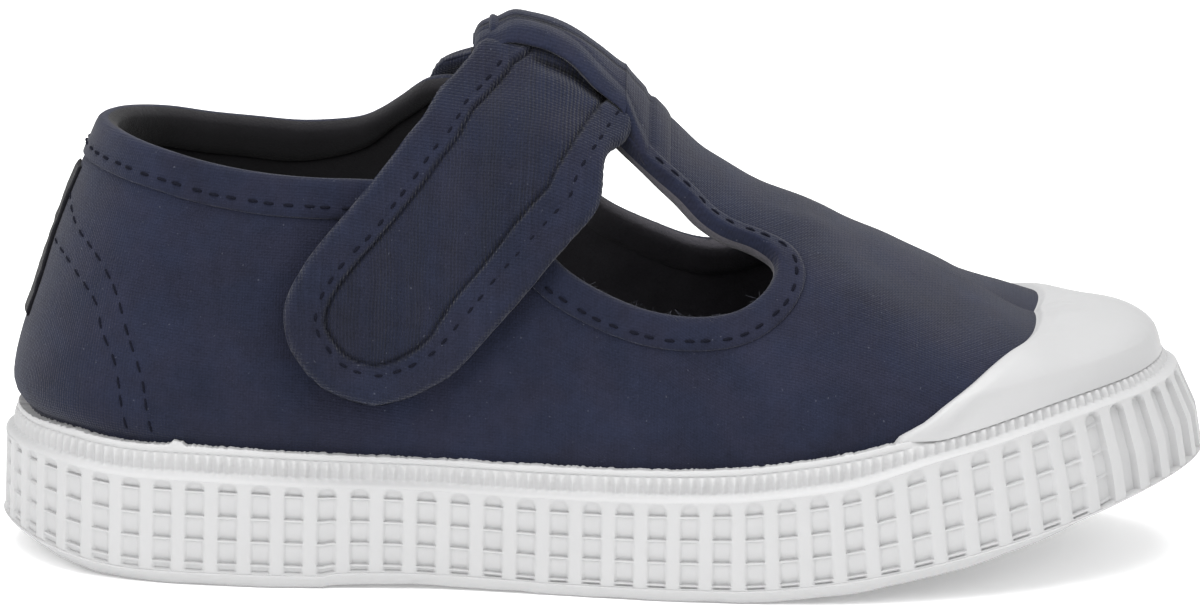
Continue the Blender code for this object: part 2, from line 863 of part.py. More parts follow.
def build_cap(group, cutters, material):
    """Moulded toe cap over the front of the upper, cut along its rear edge in side view."""
    half = [a for a in station_angles(SHELL_STATIONS, (0.0,)) if share_at(a) > CAP_EDGE[-1][0] - 0.06]
    ring = half + [2 * math.pi - a for a in reversed(half[:-1])]
    rises = [CAP_FOOT] + [k / 10 for k in range(1, 11)]
    top = [[over_skin(a, r, GAP + CAP_THICK) for a in ring] for r in rises]
    below = [[over_skin(a, r, GAP) for a in ring] for r in rises]
    columns = len(ring)
    points = [p for row in top for p in row] + [p for row in below for p in row]
    second = len(rises) * columns
    faces = []
    for r in range(len(rises) - 1):
        for c in range(columns - 1):
            a = r * columns + c
            b = a + 1
            d = a + columns
            faces.append((a, b, d + 1, d))
            faces.append((second + d, second + d + 1, second + b, second + a))
    for c in range(columns - 1):
        faces.append((c + 1, c, second + c, second + c + 1))
    for r in range(len(rises) - 1):
        a = r * columns
        b = a + columns - 1
        faces.append((a, a + columns, second + a + columns, second + a))
        faces.append((b + columns, b, second + b, second + b + columns))
    item = new_body("toe_cap", points, faces, group, material)
    line = [(length_x(share), height * TOP_HEIGHT) for share, height in CAP_EDGE]
    outline = [(line[0][0], TOP_HEIGHT)] + line + [(line[-1][0], 0.0), (LENGTH, 0.0), (LENGTH, TOP_HEIGHT)]
    keep = prism("cap_cut", outline, -BALL_WIDTH, BALL_WIDTH, cutters)
    apply_boolean(item, keep, "INTERSECT")
    shade_smooth(item, 0.7)
    return item


def build_insole(group, material):
    """Sheet on the footbed, inside the shell."""
    angles = station_angles(SHELL_STATIONS, (0.0,))
    ring = whole_ring(angles)
    count = len(ring)
    inset = FOOT_INSET + CANVAS + GAP
    points = []
    for level in (RUBBER_BOTTOM + GAP, RUBBER_BOTTOM + GAP + INSOLE_THICK):
        for angle in ring:
            points.append(level_point(angle, level, inset))
    faces = []
    for k in range(count):
        nxt = (k + 1) % count
        faces.append((k, nxt, count + nxt, count + k))
    for start, flip in ((0, False), (count, True)):
        for j in range(SHELL_STATIONS):
            face = [start + j, start + j + 1, start + (count - j - 1) % count, start + (count - j) % count]
            if j == 0:
                face = face[:3]
            if j == SHELL_STATIONS - 1:
                face = [face[0], face[1], face[3]]
            if flip:
                face.reverse()
            faces.append(tuple(face))
    item = new_body("insole", points, faces, group, material)
    shade_smooth(item, 0.7)
    return item


def build_label(group, material):
    """Plain tab on the back of the heel."""
    reach = LABEL_WIDTH / 2 / math.sqrt(HEEL_RADIUS * LENGTH / 2)
    top = []
    below = []
    for k in range(7):
        rise = 0.17 + 0.22 * k / 6
        angles = [reach * (2 * j / 6 - 1) for j in range(7)]
        top.append([over_skin(a, rise, GAP + LABEL_THICK) for a in angles])
        below.append([over_skin(a, rise, GAP) for a in angles])
    points, faces = two_skins(top, below, False, False)
    item = new_body("heel_label", points, faces, group, material)
    shade_smooth(item, 0.7)
    return item


def build():
    clear_scene()
    group = new_collection("canvas_sneaker")
    cutters = new_collection("cutters")
    build_sole(group, cutters, new_material("sole_rubber", WHITE, 0.62))
    build_upper(group, cutters, new_material("navy_canvas", NAVY, 0.92))
    build_insole(group, new_material("insole_cloth", INSOLE_GREY, 0.95))
    build_cap(group, cutters, new_material("cap_rubber", CAP_WHITE, 0.50))
    build_strap(group, new_material("strap_canvas", NAVY_STRAP, 0.92))
    build_patch(group, new_material("patch_pile", DARK, 0.95))
    build_label(group, new_material("label_cloth", DARK, 0.85))
    for item in cutters.objects:
        item.hide_render = True
        item.display_type = "WIRE"


build()
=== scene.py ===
import math

import bmesh
import bpy
import numpy as np
from mathutils import Matrix, Vector, kdtree, noise


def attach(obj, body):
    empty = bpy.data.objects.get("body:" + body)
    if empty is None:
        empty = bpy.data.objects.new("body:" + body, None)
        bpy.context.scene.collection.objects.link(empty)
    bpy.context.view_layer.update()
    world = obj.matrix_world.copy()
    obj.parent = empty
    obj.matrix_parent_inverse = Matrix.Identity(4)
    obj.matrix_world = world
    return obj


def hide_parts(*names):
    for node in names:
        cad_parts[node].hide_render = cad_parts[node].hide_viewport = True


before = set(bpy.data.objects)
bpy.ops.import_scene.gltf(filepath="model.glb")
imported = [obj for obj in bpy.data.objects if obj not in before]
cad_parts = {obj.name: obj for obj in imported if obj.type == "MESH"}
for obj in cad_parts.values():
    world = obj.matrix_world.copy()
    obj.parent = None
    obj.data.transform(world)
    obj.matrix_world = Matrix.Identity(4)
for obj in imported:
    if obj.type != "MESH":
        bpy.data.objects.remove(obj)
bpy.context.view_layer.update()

# Driving sizes in millimetres. +X is the toe, +Y the inner side of the foot, +Z up, and the floor is 0.
MM = 0.001
LENGTH = 156.0
BALL_WIDTH = 64.5
TOP_HEIGHT = 72.5
HEEL_RADIUS = 24.0
TOE_RADIUS = 25.0

# Sole
TOE_SPRING = 12.8
SPRING_START = 0.615
HEEL_LIFT = 3.2
HEEL_LIFT_SHARE = 0.12
ARCH_RISE = 0.6
ARCH_START = 0.27
ARCH_END = 0.46
RUBBER_BOTTOM = 6.2
SIDE_PITCHES = 43
RIB_SHARE = 0.52
GROOVE_DEPTH = 1.1
CUP_WALL = 1.7
WALL_LEAN = 0.5
SIDE_HEIGHT = 18.7
EDGE_TUCK = 4.4
CLOTH_SWELL = 2.1
LIP_INSET = 1.95
CHANNEL_WIDTH = 2.2
CHANNEL_DEPTH = 1.3

# Cloth and fittings
GAP = 0.3
CANVAS = 1.8
TAPE_WIDTH = 5.4
STRAP_THICK = 2.0
STRAP_EDGE_RISE = 0.45
PATCH_THICK = 0.8
LOOP_THICK = 1.6
CAP_THICK = 1.0
INSOLE_THICK = 2.0
LABEL_THICK = 0.6
LABEL_WIDTH = 12.0

# Where the shell's ribs of cloth end on the ridge, as shares of the length
HEEL_FAN = 0.25
HEEL_POLE = 0.18
TOE_FAN = 0.80
TOE_POLE = 0.885

# Rise at which the cloth swells most over the lip
SWELL_RISE = 0.07

# Plan of the sole: share of length, centre line and half width as shares of the ball width
PLAN = (
    (0.05, 0.000, 0.281),
    (0.12, 0.000, 0.373),
    (0.20, -0.003, 0.404),
    (0.35, -0.014, 0.388),
    (0.45, -0.032, 0.403),
    (0.55, -0.034, 0.448),
    (0.65, -0.014, 0.486),
    (0.72, 0.002, 0.500),
    (0.80, 0.020, 0.476),
    (0.88, 0.044, 0.410),
    (0.95, 0.068, 0.282),
)

# Side of the sole: share of length, height of the lip over the underside as a share of the side
# height, tuck of the bottom edge and of the top edge as shares of the edge tuck, and swell of the
# cloth over the lip as a share of the cloth swell
SIDE = (
    (0.00, 0.860, 0.41, 0.00, 1.00),
    (0.05, 0.968, 0.31, 0.00, 0.77),
    (0.12, 0.998, 0.21, 0.00, 0.53),
    (0.20, 0.992, 0.15, 0.00, 0.38),
    (0.32, 0.950, 0.09, 0.00, 0.24),
    (0.44, 0.924, 0.09, 0.00, 0.24),
    (0.56, 0.946, 0.12, 0.00, 0.21),
    (0.64, 0.984, 0.13, 0.00, 0.20),
    (0.70, 0.998, 0.14, 0.00, 0.19),
    (0.82, 1.000, 0.32, 0.07, 0.14),
    (0.90, 0.964, 0.64, 0.27, 0.00),
    (1.00, 0.800, 1.00, 0.55, 0.00),
)

# Foot and head of the ribs of the sole: share of the lip height, inset as a share of the lip's
RIB_BOTTOM = (0.106, 0.10)
RIB_TOP = (0.752, 0.13)

# Channels of the tread as shares of the length
CHANNELS = (0.075, 0.12, 0.165, 0.21, 0.50, 0.545, 0.59, 0.635, 0.68, 0.725, 0.77, 0.815)

# Ridge of the last: share of length, height as share of the top height, roundness, and centre line
# as a share of the ball width
RIDGE = (
    (0.00, 1.010, 1.68, 0.000),
    (0.18, 0.998, 1.74, 0.000),
    (0.27, 0.975, 1.92, 0.000),
    (0.36, 0.957, 1.86, 0.000),
    (0.42, 0.938, 1.80, 0.003),
    (0.46, 0.912, 1.80, 0.006),
    (0.50, 0.860, 1.80, 0.009),
    (0.545, 0.812, 1.85, 0.016),
    (0.585, 0.736, 1.90, 0.022),
    (0.63, 0.676, 1.95, 0.028),
    (0.67, 0.640, 2.00, 0.034),
    (0.71, 0.594, 2.02, 0.040),
    (0.77, 0.536, 2.05, 0.051),
    (0.82, 0.481, 2.05, 0.060),
    (0.86, 0.436, 2.05, 0.068),
    (0.90, 0.437, 2.15, 0.076),
)

# Edge of the bar along the instep: share of length, height as share of the top height
BAR_EDGE = (
    (0.389, 0.898),
    (0.436, 0.880),
    (0.475, 0.850),
    (0.500, 0.814),
    (0.516, 0.782),
    (0.540, 0.740),
    (0.565, 0.698),
    (0.583, 0.660),
    (0.603, 0.632),
    (0.628, 0.612),
)

# Edges of the opening: share of length, height as share of the top height, and width of the tape
# there as a share of the tape width, which is nowhere less than the bar's
COLLAR = (
    (-0.100, 0.790, 1.00),
    (0.060, 0.790, 1.00),
    (0.124, 0.772, 1.00),
    (0.167, 0.753, 1.00),
    (0.208, 0.741, 1.00),
    (0.250, 0.734, 1.00),
)
QUARTER_LATERAL = (
    (0.320, 0.728, 0.96),
    (0.380, 0.712, 0.93),
    (0.418, 0.676, 0.89),
    (0.448, 0.622, 0.85),
    (0.474, 0.574, 0.85),
    (0.510, 0.536, 0.85),
    (0.545, 0.514, 0.85),
    (0.580, 0.506, 0.85),
    (0.613, 0.514, 0.85),
    (0.637, 0.544, 0.81),
)
QUARTER_MEDIAL = (
    (0.292, 0.744, 0.74),
    (0.312, 0.764, -0.11),
    (0.330, 0.794, -0.11),
    (0.352, 0.832, -0.11),
    (0.382, 0.836, -0.11),
    (0.412, 0.800, -0.11),
    (0.445, 0.726, -0.11),
    (0.475, 0.650, 0.11),
    (0.500, 0.596, 0.74),
    (0.540, 0.548, 0.81),
    (0.578, 0.516, 0.85),
    (0.611, 0.516, 0.85),
    (0.636, 0.546, 0.81),
)
CUT_FRONT = (0.646, 0.583, 0.67)

# Width of the tape along the bar as a share of the tape width
BAR_TAPE = 0.44

# Loop of the bar: share of length, whether the strap's tunnel runs under it there, and its top face
# as a share of the loop's height over the bar's lower layer
LOOP = (
    (0.3895, False, 0.12),
    (0.3915, False, 0.38),
    (0.3945, False, 0.60),
    (0.3985, False, 0.79),
    (0.4000, True, 0.83),
    (0.4085, True, 0.93),
    (0.4170, True, 0.99),
    (0.4340, True, 1.00),
    (0.4500, True, 1.00),
    (0.4650, True, 0.98),
    (0.4800, True, 0.94),
    (0.4950, True, 0.88),
    (0.5090, True, 0.83),
    (0.5100, False, 0.83),
    (0.5220, False, 0.55),
    (0.5360, False, 0.26),
    (0.5500, False, 0.10),
)

# Strap: place round the foot, where 0 is the ridge and 1 the edge of the sole, minus for the outer
# side; then its rear and its front edge as shares of the length
STRAP = (
    (-0.912, 0.3010, 0.3120),
    (-0.905, 0.2842, 0.3261),
    (-0.885, 0.2633, 0.3471),
    (-0.850, 0.2465, 0.3722),
    (-0.815, 0.2350, 0.3880),
    (-0.770, 0.2307, 0.4050),
    (-0.730, 0.2350, 0.4200),
    (-0.690, 0.2462, 0.4345),
    (-0.645, 0.2631, 0.4500),
    (-0.580, 0.2878, 0.4700),
    (-0.490, 0.3167, 0.4915),
    (-0.400, 0.3430, 0.4940),
    (-0.310, 0.3770, 0.4970),
    (-0.270, 0.3940, 0.4990),
    (-0.235, 0.4027, 0.5010),
    (-0.150, 0.4035, 0.5040),
    (-0.070, 0.4040, 0.5045),
    (0.000, 0.4040, 0.5050),
    (0.070, 0.4040, 0.5040),
    (0.150, 0.4035, 0.5020),
    (0.240, 0.4027, 0.4980),
    (0.290, 0.3830, 0.4930),
    (0.350, 0.3610, 0.4860),
    (0.430, 0.3500, 0.4760),
    (0.510, 0.3470, 0.4680),
    (0.600, 0.3450, 0.4600),
)

# Places between which the strap rises from the bar over the patch
STRAP_ON_BAR = 0.26
STRAP_ON_QUARTER = 0.40

# Patch under the strap's end: place round the foot, rear and front edge as shares of the length
PATCH = (
    (-0.865, 0.2680, 0.3330),
    (-0.810, 0.2530, 0.3680),
    (-0.735, 0.2550, 0.3920),
    (-0.665, 0.2800, 0.4020),
)

# Rear edge of the toe cap from the ridge down to the lip: shares of length and of the top height
CAP_EDGE = (
    (0.882, 0.486),
    (0.866, 0.456),
    (0.839, 0.437),
    (0.810, 0.395),
    (0.787, 0.359),
    (0.775, 0.333),
    (0.757, 0.308),
    (0.735, 0.288),
)


# Tables and plan curves
def smooth(rows, column, share):
    """Value of one column of a table at a share, on a smooth curve through its rows."""
    if share <= rows[0][0]:
        return rows[0][column]
    if share >= rows[-1][0]:
        return rows[-1][column]
    k = 0
    while rows[k + 1][0] < share:
        k += 1
    x0, x1 = rows[k][0], rows[k + 1][0]
    y0, y1 = rows[k][column], rows[k + 1][column]
    chord = (y1 - y0) / (x1 - x0)
    before = chord
    after = chord
    if k > 0:
        before = (y1 - rows[k - 1][column]) / (x1 - rows[k - 1][0])
    if k + 2 < len(rows):
        after = (rows[k + 2][column] - y0) / (rows[k + 2][0] - x0)
    step = x1 - x0
    t = (share - x0) / step
    return (
        y0 * (1 + 2 * t) * (1 - t) ** 2
        + before * step * t * (1 - t) ** 2
        + y1 * t * t * (3 - 2 * t)
        + after * step * t * t * (t - 1)
    )


def fullness_rows():
    """Plan rows with the half width divided by the ring of an ellipse, so that both ends are round."""
    rows = [(0.0, 0.0, math.sqrt(HEEL_RADIUS * LENGTH / 2))]
    for share, centre, half in PLAN:
        rows.append((share, centre * BALL_WIDTH, half * BALL_WIDTH / (2 * math.sqrt(share * (1 - share)))))
    rows.append((1.0, RIDGE[-1][3] * BALL_WIDTH, math.sqrt(TOE_RADIUS * LENGTH / 2)))
    return rows


FULLNESS = fullness_rows()


def length_x(share):
    """X of a share of the length."""
    return (share - 0.5) * LENGTH


def share_at(angle):
    """Share of the length at a ring angle: 0 is the back of the heel and pi the toe."""
    return (1 - math.cos(angle)) / 2


def plan_point(angle):
    """Point of the sole's widest outline in plan."""
    share = share_at(angle)
    y = smooth(FULLNESS, 1, share) + smooth(FULLNESS, 2, share) * math.sin(angle)
    return Vector((length_x(share), y))


def plan_outward(angle):
    """Outward normal of the outline in plan."""
    step = 0.004
    along = plan_point(angle + step) - plan_point(angle - step)
    return Vector((-along.y, along.x)).normalized()


def station_angles(count, parts):
    """Ring angles from heel to toe, evenly spaced along the outline, with shares inside each step."""
    fine = 1200
    angles = [math.pi * k / fine for k in range(fine + 1)]
    run = [0.0]
    for k in range(fine):
        near = (plan_point(angles[k + 1]) - plan_point(angles[k])).length
        far = (plan_point(-angles[k + 1]) - plan_point(-angles[k])).length
        run.append(run[-1] + (near + far) / 2)
    places = []
    for j in range(count):
        for part in parts:
            places.append(run[-1] * (j + part) / count)
    places.append(run[-1])
    found = []
    k = 0
    for place in places:
        while k < fine - 1 and run[k + 1] < place:
            k += 1
        t = (place - run[k]) / (run[k + 1] - run[k])
        found.append(angles[k] + (angles[k + 1] - angles[k]) * t)
    return found


def whole_ring(half):
    """Angles all round: inner side from heel to toe, then outer side back to the heel."""
    return list(half) + [2 * math.pi - a for a in reversed(half[1:-1])]


# Heights
def spring(share):
    """Rise of the underside at toe and heel."""
    toe = max(0.0, (share - SPRING_START) / (1 - SPRING_START))
    heel = max(0.0, 1 - share / HEEL_LIFT_SHARE)
    return TOE_SPRING * toe ** 1.5 + HEEL_LIFT * heel ** 2


def under(share):
    """Height of the underside, with the shallow arch in front of the heel."""
    rise = 0.0
    if ARCH_START < share < ARCH_END:
        part = (share - ARCH_START) / (ARCH_END - ARCH_START)
        rise = ARCH_RISE * math.sin(math.pi * math.sqrt(part))
    return spring(share) + rise


def side_height(share):
    """Height of the lip of the sole over the underside."""
    return smooth(SIDE, 1, share) * SIDE_HEIGHT


def lip_height(share):
    """Height of the lip of the sole above the floor."""
    return spring(share) + side_height(share)


def lean(share):
    """How far the side leans back for each millimetre up, which follows the toe spring."""
    toe = max(0.0, (share - SPRING_START) / (1 - SPRING_START))
    return WALL_LEAN * TOE_SPRING * 1.5 * toe ** 0.5 / (1 - SPRING_START) / LENGTH


def side_point(angle, height_share, inset):
    """Point on the side of the sole at a share of its height, with the arch left out."""
    share = share_at(angle)
    bottom = spring(share)
    top = lip_height(share)
    start = (RUBBER_BOTTOM + GAP) / side_height(share)
    tuck = smooth(SIDE, 3, share) * EDGE_TUCK * max(0.0, (height_share - start) / (1 - start))
    flat = plan_point(angle) - plan_outward(angle) * (inset + tuck)
    z = bottom + (top - bottom) * height_share
    shift = lean(share) * (z - (bottom + top) / 2)
    return Vector((flat.x - shift, flat.y, z))


def level_point(angle, level, inset):
    """Point on the side at a level in millimetres over the underside, which leaves the arch out."""
    return side_point(angle, level / side_height(share_at(angle)), inset)


# The outer skin of the upper
FOOT_INSET = GROOVE_DEPTH + CUP_WALL + GAP


def ridge_share(share):
    """Share of the length where the rib of cloth from this station meets the ridge."""
    if share < HEEL_FAN:
        return HEEL_POLE + (HEEL_FAN - HEEL_POLE) * share / HEEL_FAN
    if share > TOE_FAN:
        return TOE_FAN + (TOE_POLE - TOE_FAN) * (share - TOE_FAN) / (1 - TOE_FAN)
    return share


def ridge_point(share):
    """Point of the ridge of the last."""
    on = ridge_share(share)
    return Vector((length_x(on), smooth(RIDGE, 3, on) * BALL_WIDTH, smooth(RIDGE, 1, on) * TOP_HEIGHT))


def place_at_height(share, height):
    """Place round the foot where the skin has this height."""
    foot = lip_height(share)
    top = ridge_point(share).z
    part = min(max((height - foot) / (top - foot), 0.0), 1.0)
    turn = math.asin(part ** (smooth(RIDGE, 2, share) / 2))
    return 1 - turn / (math.pi / 2)


def between(a, b, c, d, t):
    """Value on a smooth curve from b to c, with a before them and d after them."""
    bend = (2 * a - 5 * b + 4 * c - d) * t * t
    return 0.5 * (2 * b + (c - a) * t + bend + (3 * b - a - 3 * c + d) * t ** 3)


def curve_through(rows, pieces):
    """Rows on a smooth curve through the given rows, with more of them between."""
    out = []
    for k in range(len(rows) - 1):
        before = rows[max(k - 1, 0)]
        start = rows[k]
        end = rows[k + 1]
        after = rows[min(k + 2, len(rows) - 1)]
        for step in range(pieces):
            t = step / pieces
            out.append(tuple(between(*values, t) for values in zip(before, start, end, after)))
    out.append(rows[-1])
    return out


# Opening of the upper
def opening_rows(quarter, pieces):
    """Edge of the opening on one side and its tape, from the heel round the cut-out and up the bar."""
    rows = list(COLLAR) + list(quarter) + [CUT_FRONT]
    for share, height in reversed(BAR_EDGE):
        rows.append((share, height, BAR_TAPE))
    rows = [(s, h, max(t, BAR_TAPE)) for s, h, t in rows]
    return [(length_x(s), h * TOP_HEIGHT, t * TAPE_WIDTH) for s, h, t in curve_through(rows, pieces)]


def opening_outline(quarter, margin):
    """Closed outline of the opening, grown by a margin."""
    rows = opening_rows(quarter, 3)
    outline = []
    for k, (x, z, _) in enumerate(rows):
        ahead = rows[min(k + 1, len(rows) - 1)]
        behind = rows[max(k - 1, 0)]
        along = Vector((ahead[0] - behind[0], ahead[1] - behind[1])).normalized()
        outline.append((x + along.y * margin, z - along.x * margin))
    back = outline[-1][0]
    outline.append((back, 1.4 * TOP_HEIGHT))
    outline.append((outline[0][0], 1.4 * TOP_HEIGHT))
    return outline


# The skin as a fine net, so that every cloth piece lies on the same surface
NET_ANGLES = 720
NET_RISES = 180

# Longest step along the skin in millimetres, and the rise over which its slope is measured
LONGEST_STEP = 1.2
RISE_STEP = 0.004

# Soft creases of the cloth: side (-1 outer, 1 inner), share and place round the foot where the crease
# starts and where it ends, width and height in millimetres, minus for a trough
CREASES = (
    (-1, 0.135, 0.60, 0.175, 0.98, 5.0, -0.45),
    (-1, 0.060, 0.55, 0.110, 0.95, 6.0, 0.30),
    (-1, 0.215, 0.55, 0.205, 0.97, 7.0, 0.30),
    (-1, 0.290, 0.88, 0.430, 0.93, 5.0, -0.35),
    (-1, 0.470, 0.80, 0.620, 0.86, 6.0, 0.30),
    (-1, 0.640, 0.62, 0.760, 0.74, 6.0, -0.35),
    (-1, 0.660, 0.36, 0.780, 0.52, 6.0, 0.35),
    (-1, 0.700, 0.12, 0.800, 0.30, 5.0, -0.30),
    (-1, 0.640, 0.20, 0.700, 0.10, 3.0, 0.35),
    (-1, 0.560, 0.93, 0.700, 0.97, 4.0, -0.30),
    (1, 0.120, 0.62, 0.160, 0.96, 5.0, -0.45),
    (1, 0.200, 0.60, 0.240, 0.95, 6.0, 0.35),
    (1, 0.330, 0.75, 0.470, 0.90, 7.0, -0.45),
    (1, 0.500, 0.75, 0.640, 0.88, 6.0, 0.35),
    (1, 0.650, 0.55, 0.770, 0.70, 6.0, -0.35),
    (1, 0.690, 0.20, 0.790, 0.40, 5.0, 0.30),
)


def net_angles():
    """Ring angles of the net, from the toe round the outer side, the heel and the inner side to the toe."""
    return np.linspace(-math.pi, math.pi, NET_ANGLES + 1)


def unit(vectors):
    """Vectors brought to length 1."""
    return vectors / np.maximum(np.linalg.norm(vectors, axis=-1, keepdims=True), 1e-9)


def length_run(points):
    """Length of a path up to each of its points."""
    return np.concatenate([[0.0], np.cumsum(np.linalg.norm(np.diff(points, axis=0), axis=1))])


def bell(value, middle, width):
    """1 in the middle, fading smoothly to 0 on both sides."""
    return np.exp(-(((value - middle) / width) ** 2))


def rim_bow(gap, radius):
    """Share of the full thickness at distances from a rim that is rounded with a radius."""
    part = np.clip(gap / radius, 0.0, 1.0)
    return np.sqrt(np.maximum(1 - (1 - part) ** 2, 0.0))


def normals_of(points):
    """Outward normals of a net of points whose rows go up and whose columns go round."""
    return unit(np.cross(np.gradient(points, axis=0), np.gradient(points, axis=1)))


def plain_net():
    """Net of the skin before any crease."""
    turns = np.linspace(0.0, 1.0, NET_RISES + 1)[:, None] * math.pi / 2
    columns = []
    for angle in net_angles():
        share = share_at(angle)
        foot = side_point(angle, 1.0, FOOT_INSET)
        top = ridge_point(share)
        power = 2 / smooth(RIDGE, 2, ridge_share(share))
        inward = 1 - np.maximum(np.cos(turns), 0.0) ** power
        upward = np.sin(turns) ** power
        part = turns / (math.pi / 2) / SWELL_RISE
        swell = smooth(SIDE, 4, share) * CLOTH_SWELL * part * np.exp(1 - part)
        out = plan_outward(angle)
        x = foot.x + (top.x - foot.x) * inward + out.x * swell
        y = foot.y + (top.y - foot.y) * inward + out.y * swell
        z = foot.z + (top.z - foot.z) * upward
        columns.append(np.concatenate([x, y, z], axis=1))
    return np.stack(columns, axis=1)


def close_ridge(normals):
    """Normals that the two sides share on the ridge, and level ones at the foot."""
    normals[-1] = unit(normals[-2] + normals[-2][::-1])
    normals[0, :, 2] = 0.0
    normals[0] = unit(normals[0])
    return normals


class Net:
    """The outer skin with its creases, and the cloth's own coordinates on it, in millimetres."""

    def __init__(self):
        self.points = plain_net()
        self.normals = close_ridge(normals_of(self.points))
        self.points = self.points + self.normals * self.creases()[..., None]
        self.points[-1] = (self.points[-1] + self.points[-1][::-1]) / 2
        self.normals = close_ridge(normals_of(self.points))
        self.cloth = self.cloth_of()

    def creases(self):
        """Height of the soft folds over the plain skin."""
        total = np.zeros(self.points.shape[:2])
        for side, share, place, to_share, to_place, width, height in CREASES:
            ends = []
            for s, p in ((share, place), (to_share, to_place)):
                angle = side * math.acos(1 - 2 * s)
                ends.append(self.at([angle], [1 - p])[0][0])
            span = ends[1] - ends[0]
            away = self.points - ends[0]
            part = np.clip(away @ span / (span @ span), 0.0, 1.0)
            gap = np.linalg.norm(away - part[..., None] * span, axis=2)
            taper = 0.35 + 0.65 * np.sin(np.pi * np.clip(part, 0.02, 0.98))
            total += height * taper * bell(gap, 0.0, width)
        x, y, z = (self.points[..., k] for k in range(3))
        total += 0.10 * np.sin(x * 0.31 + 1.2 * np.sin(z * 0.17)) * np.sin(z * 0.23 + x * 0.07)
        total += 0.06 * np.sin(x * 0.55 - z * 0.42 + 2.0) * np.sin(z * 0.38 + y * 0.21)
        rises = np.linspace(0.0, 1.0, NET_RISES + 1)[:, None]
        return total * np.clip(rises / 0.05, 0.0, 1.0)

    def cloth_of(self):
        """Cloth coordinates: millimetres along the shoe, and millimetres down from the ridge."""
        run = length_run(self.points[0])
        run -= run[NET_ANGLES // 2]
        across = np.abs(np.broadcast_to(run, self.points.shape[:2]).copy())
        front = self.points[..., 0] > length_x(HEEL_FAN)
        fan_column = int(NET_ANGLES / 2 + math.acos(1 - 2 * HEEL_FAN) / math.pi * NET_ANGLES / 2)
        at_fan = abs(run[fan_column])
        across[front] = (at_fan + self.points[..., 0] - length_x(HEEL_FAN))[front]
        lengths = np.linalg.norm(np.diff(self.points, axis=0), axis=2)
        down = np.concatenate([np.cumsum(lengths[::-1], axis=0)[::-1], np.zeros((1, NET_ANGLES + 1))])
        return np.stack([across, -down], axis=2)

    def at(self, angles, rises):
        """Points, normals and cloth coordinates at ring angles and rises."""
        angle = (np.asarray(angles, dtype=float) + math.pi) % (2 * math.pi)
        column = angle / (2 * math.pi) * NET_ANGLES
        row = np.clip(np.asarray(rises, dtype=float), 0.0, 1.0) * NET_RISES
        c = np.minimum(column.astype(int), NET_ANGLES - 1)
        r = np.minimum(row.astype(int), NET_RISES - 1)
        u = (column - c)[..., None]
        v = (row - r)[..., None]
        found = []
        for table in (self.points, self.normals, getattr(self, "cloth", self.points[..., :2])):
            low = table[r, c] * (1 - u) + table[r, c + 1] * u
            high = table[r + 1, c] * (1 - u) + table[r + 1, c + 1] * u
            found.append(low * (1 - v) + high * v)
        found[1] = unit(found[1])
        return found

    def over(self, angles, rises, distance):
        """Points at distances outside the skin."""
        points, normals, _ = self.at(angles, rises)
        return points + normals * np.asarray(distance, dtype=float)[..., None]

    def walk(self, angles, rises, ways):
        """Ring angles and rises reached from a place by going along the skin in straight ways."""
        angle = np.array(angles, dtype=float)
        rise = np.array(rises, dtype=float)
        ways = np.asarray(ways, dtype=float)
        parts = max(1, int(math.ceil(np.linalg.norm(ways, axis=-1).max() / LONGEST_STEP)))
        da = 0.006
        for _ in range(parts):
            low = np.clip(rise - RISE_STEP, 0.0, 1.0)
            high = np.clip(rise + RISE_STEP, 0.0, 1.0)
            go_round = (self.at(angle + da, rise)[0] - self.at(angle - da, rise)[0]) / (2 * da)
            go_up = (self.at(angle, high)[0] - self.at(angle, low)[0]) / (high - low)[..., None]
            step = ways / parts
            aa = (go_round * go_round).sum(-1)
            bb = (go_up * go_up).sum(-1)
            ab = (go_round * go_up).sum(-1)
            sa = (go_round * step).sum(-1)
            sb = (go_up * step).sum(-1)
            det = np.maximum(aa * bb - ab * ab, 1e-6)
            angle = angle + (sa * bb - sb * ab) / det
            rise = rise + (sb * aa - sa * ab) / det
            over = rise > 1.0
            angle = np.where(over, -angle, angle)
            rise = np.where(over, 2.0 - rise, rise)
            rise = np.maximum(rise, 0.0)
        return angle, rise

    def find(self, x, z, side):
        """Ring angles and rises where one side has these lengths and heights, between the two fans."""
        share = np.clip(np.asarray(x, dtype=float) / LENGTH + 0.5, 0.01, 0.99)
        z = np.asarray(z, dtype=float)
        angle = side * np.arccos(1 - 2 * share)
        rise = np.array([1 - place_at_height(s, h) for s, h in zip(share, z)])
        for _ in range(12):
            here = self.at(angle, rise)[0]
            by_angle = (self.at(angle + 0.004 * side, rise)[0] - here) / 0.004
            low = np.clip(rise - RISE_STEP, 0.0, 1.0)
            by_rise = (self.at(angle, low + 0.006)[0] - self.at(angle, low)[0]) / 0.006
            ex = x - here[..., 0]
            ez = z - here[..., 2]
            det = by_angle[..., 0] * by_rise[..., 2] - by_angle[..., 2] * by_rise[..., 0]
            det = np.where(np.abs(det) < 1e-3, 1e-3, det)
            move_a = (ex * by_rise[..., 2] - ez * by_rise[..., 0]) / det
            move_r = (ez * by_angle[..., 0] - ex * by_angle[..., 2]) / det
            angle = angle + side * np.clip(move_a, -0.02, 0.02)
            rise = np.clip(rise + np.clip(move_r, -0.03, 0.03), 0.01, 0.995)
        return angle, rise


NET = Net()


def ease(low, high, value):
    """0 below low, 1 above high, smooth between."""
    part = np.clip((value - low) / (high - low), 0.0, 1.0)
    return part * part * (3 - 2 * part)


def even_path(values, points, step):
    """Values along a path, spaced evenly by its length."""
    run = length_run(points)
    count = max(2, int(round(run[-1] / step)) + 1)
    places = np.linspace(0.0, run[-1], count)
    return [np.interp(places, run, value) for value in values]


def soften(values, times):
    """Values along a path with small kinks smoothed out."""
    values = np.array(values, dtype=float)
    for _ in range(times):
        values[1:-1] = values[1:-1] * 0.5 + (values[:-2] + values[2:]) * 0.25
    return values


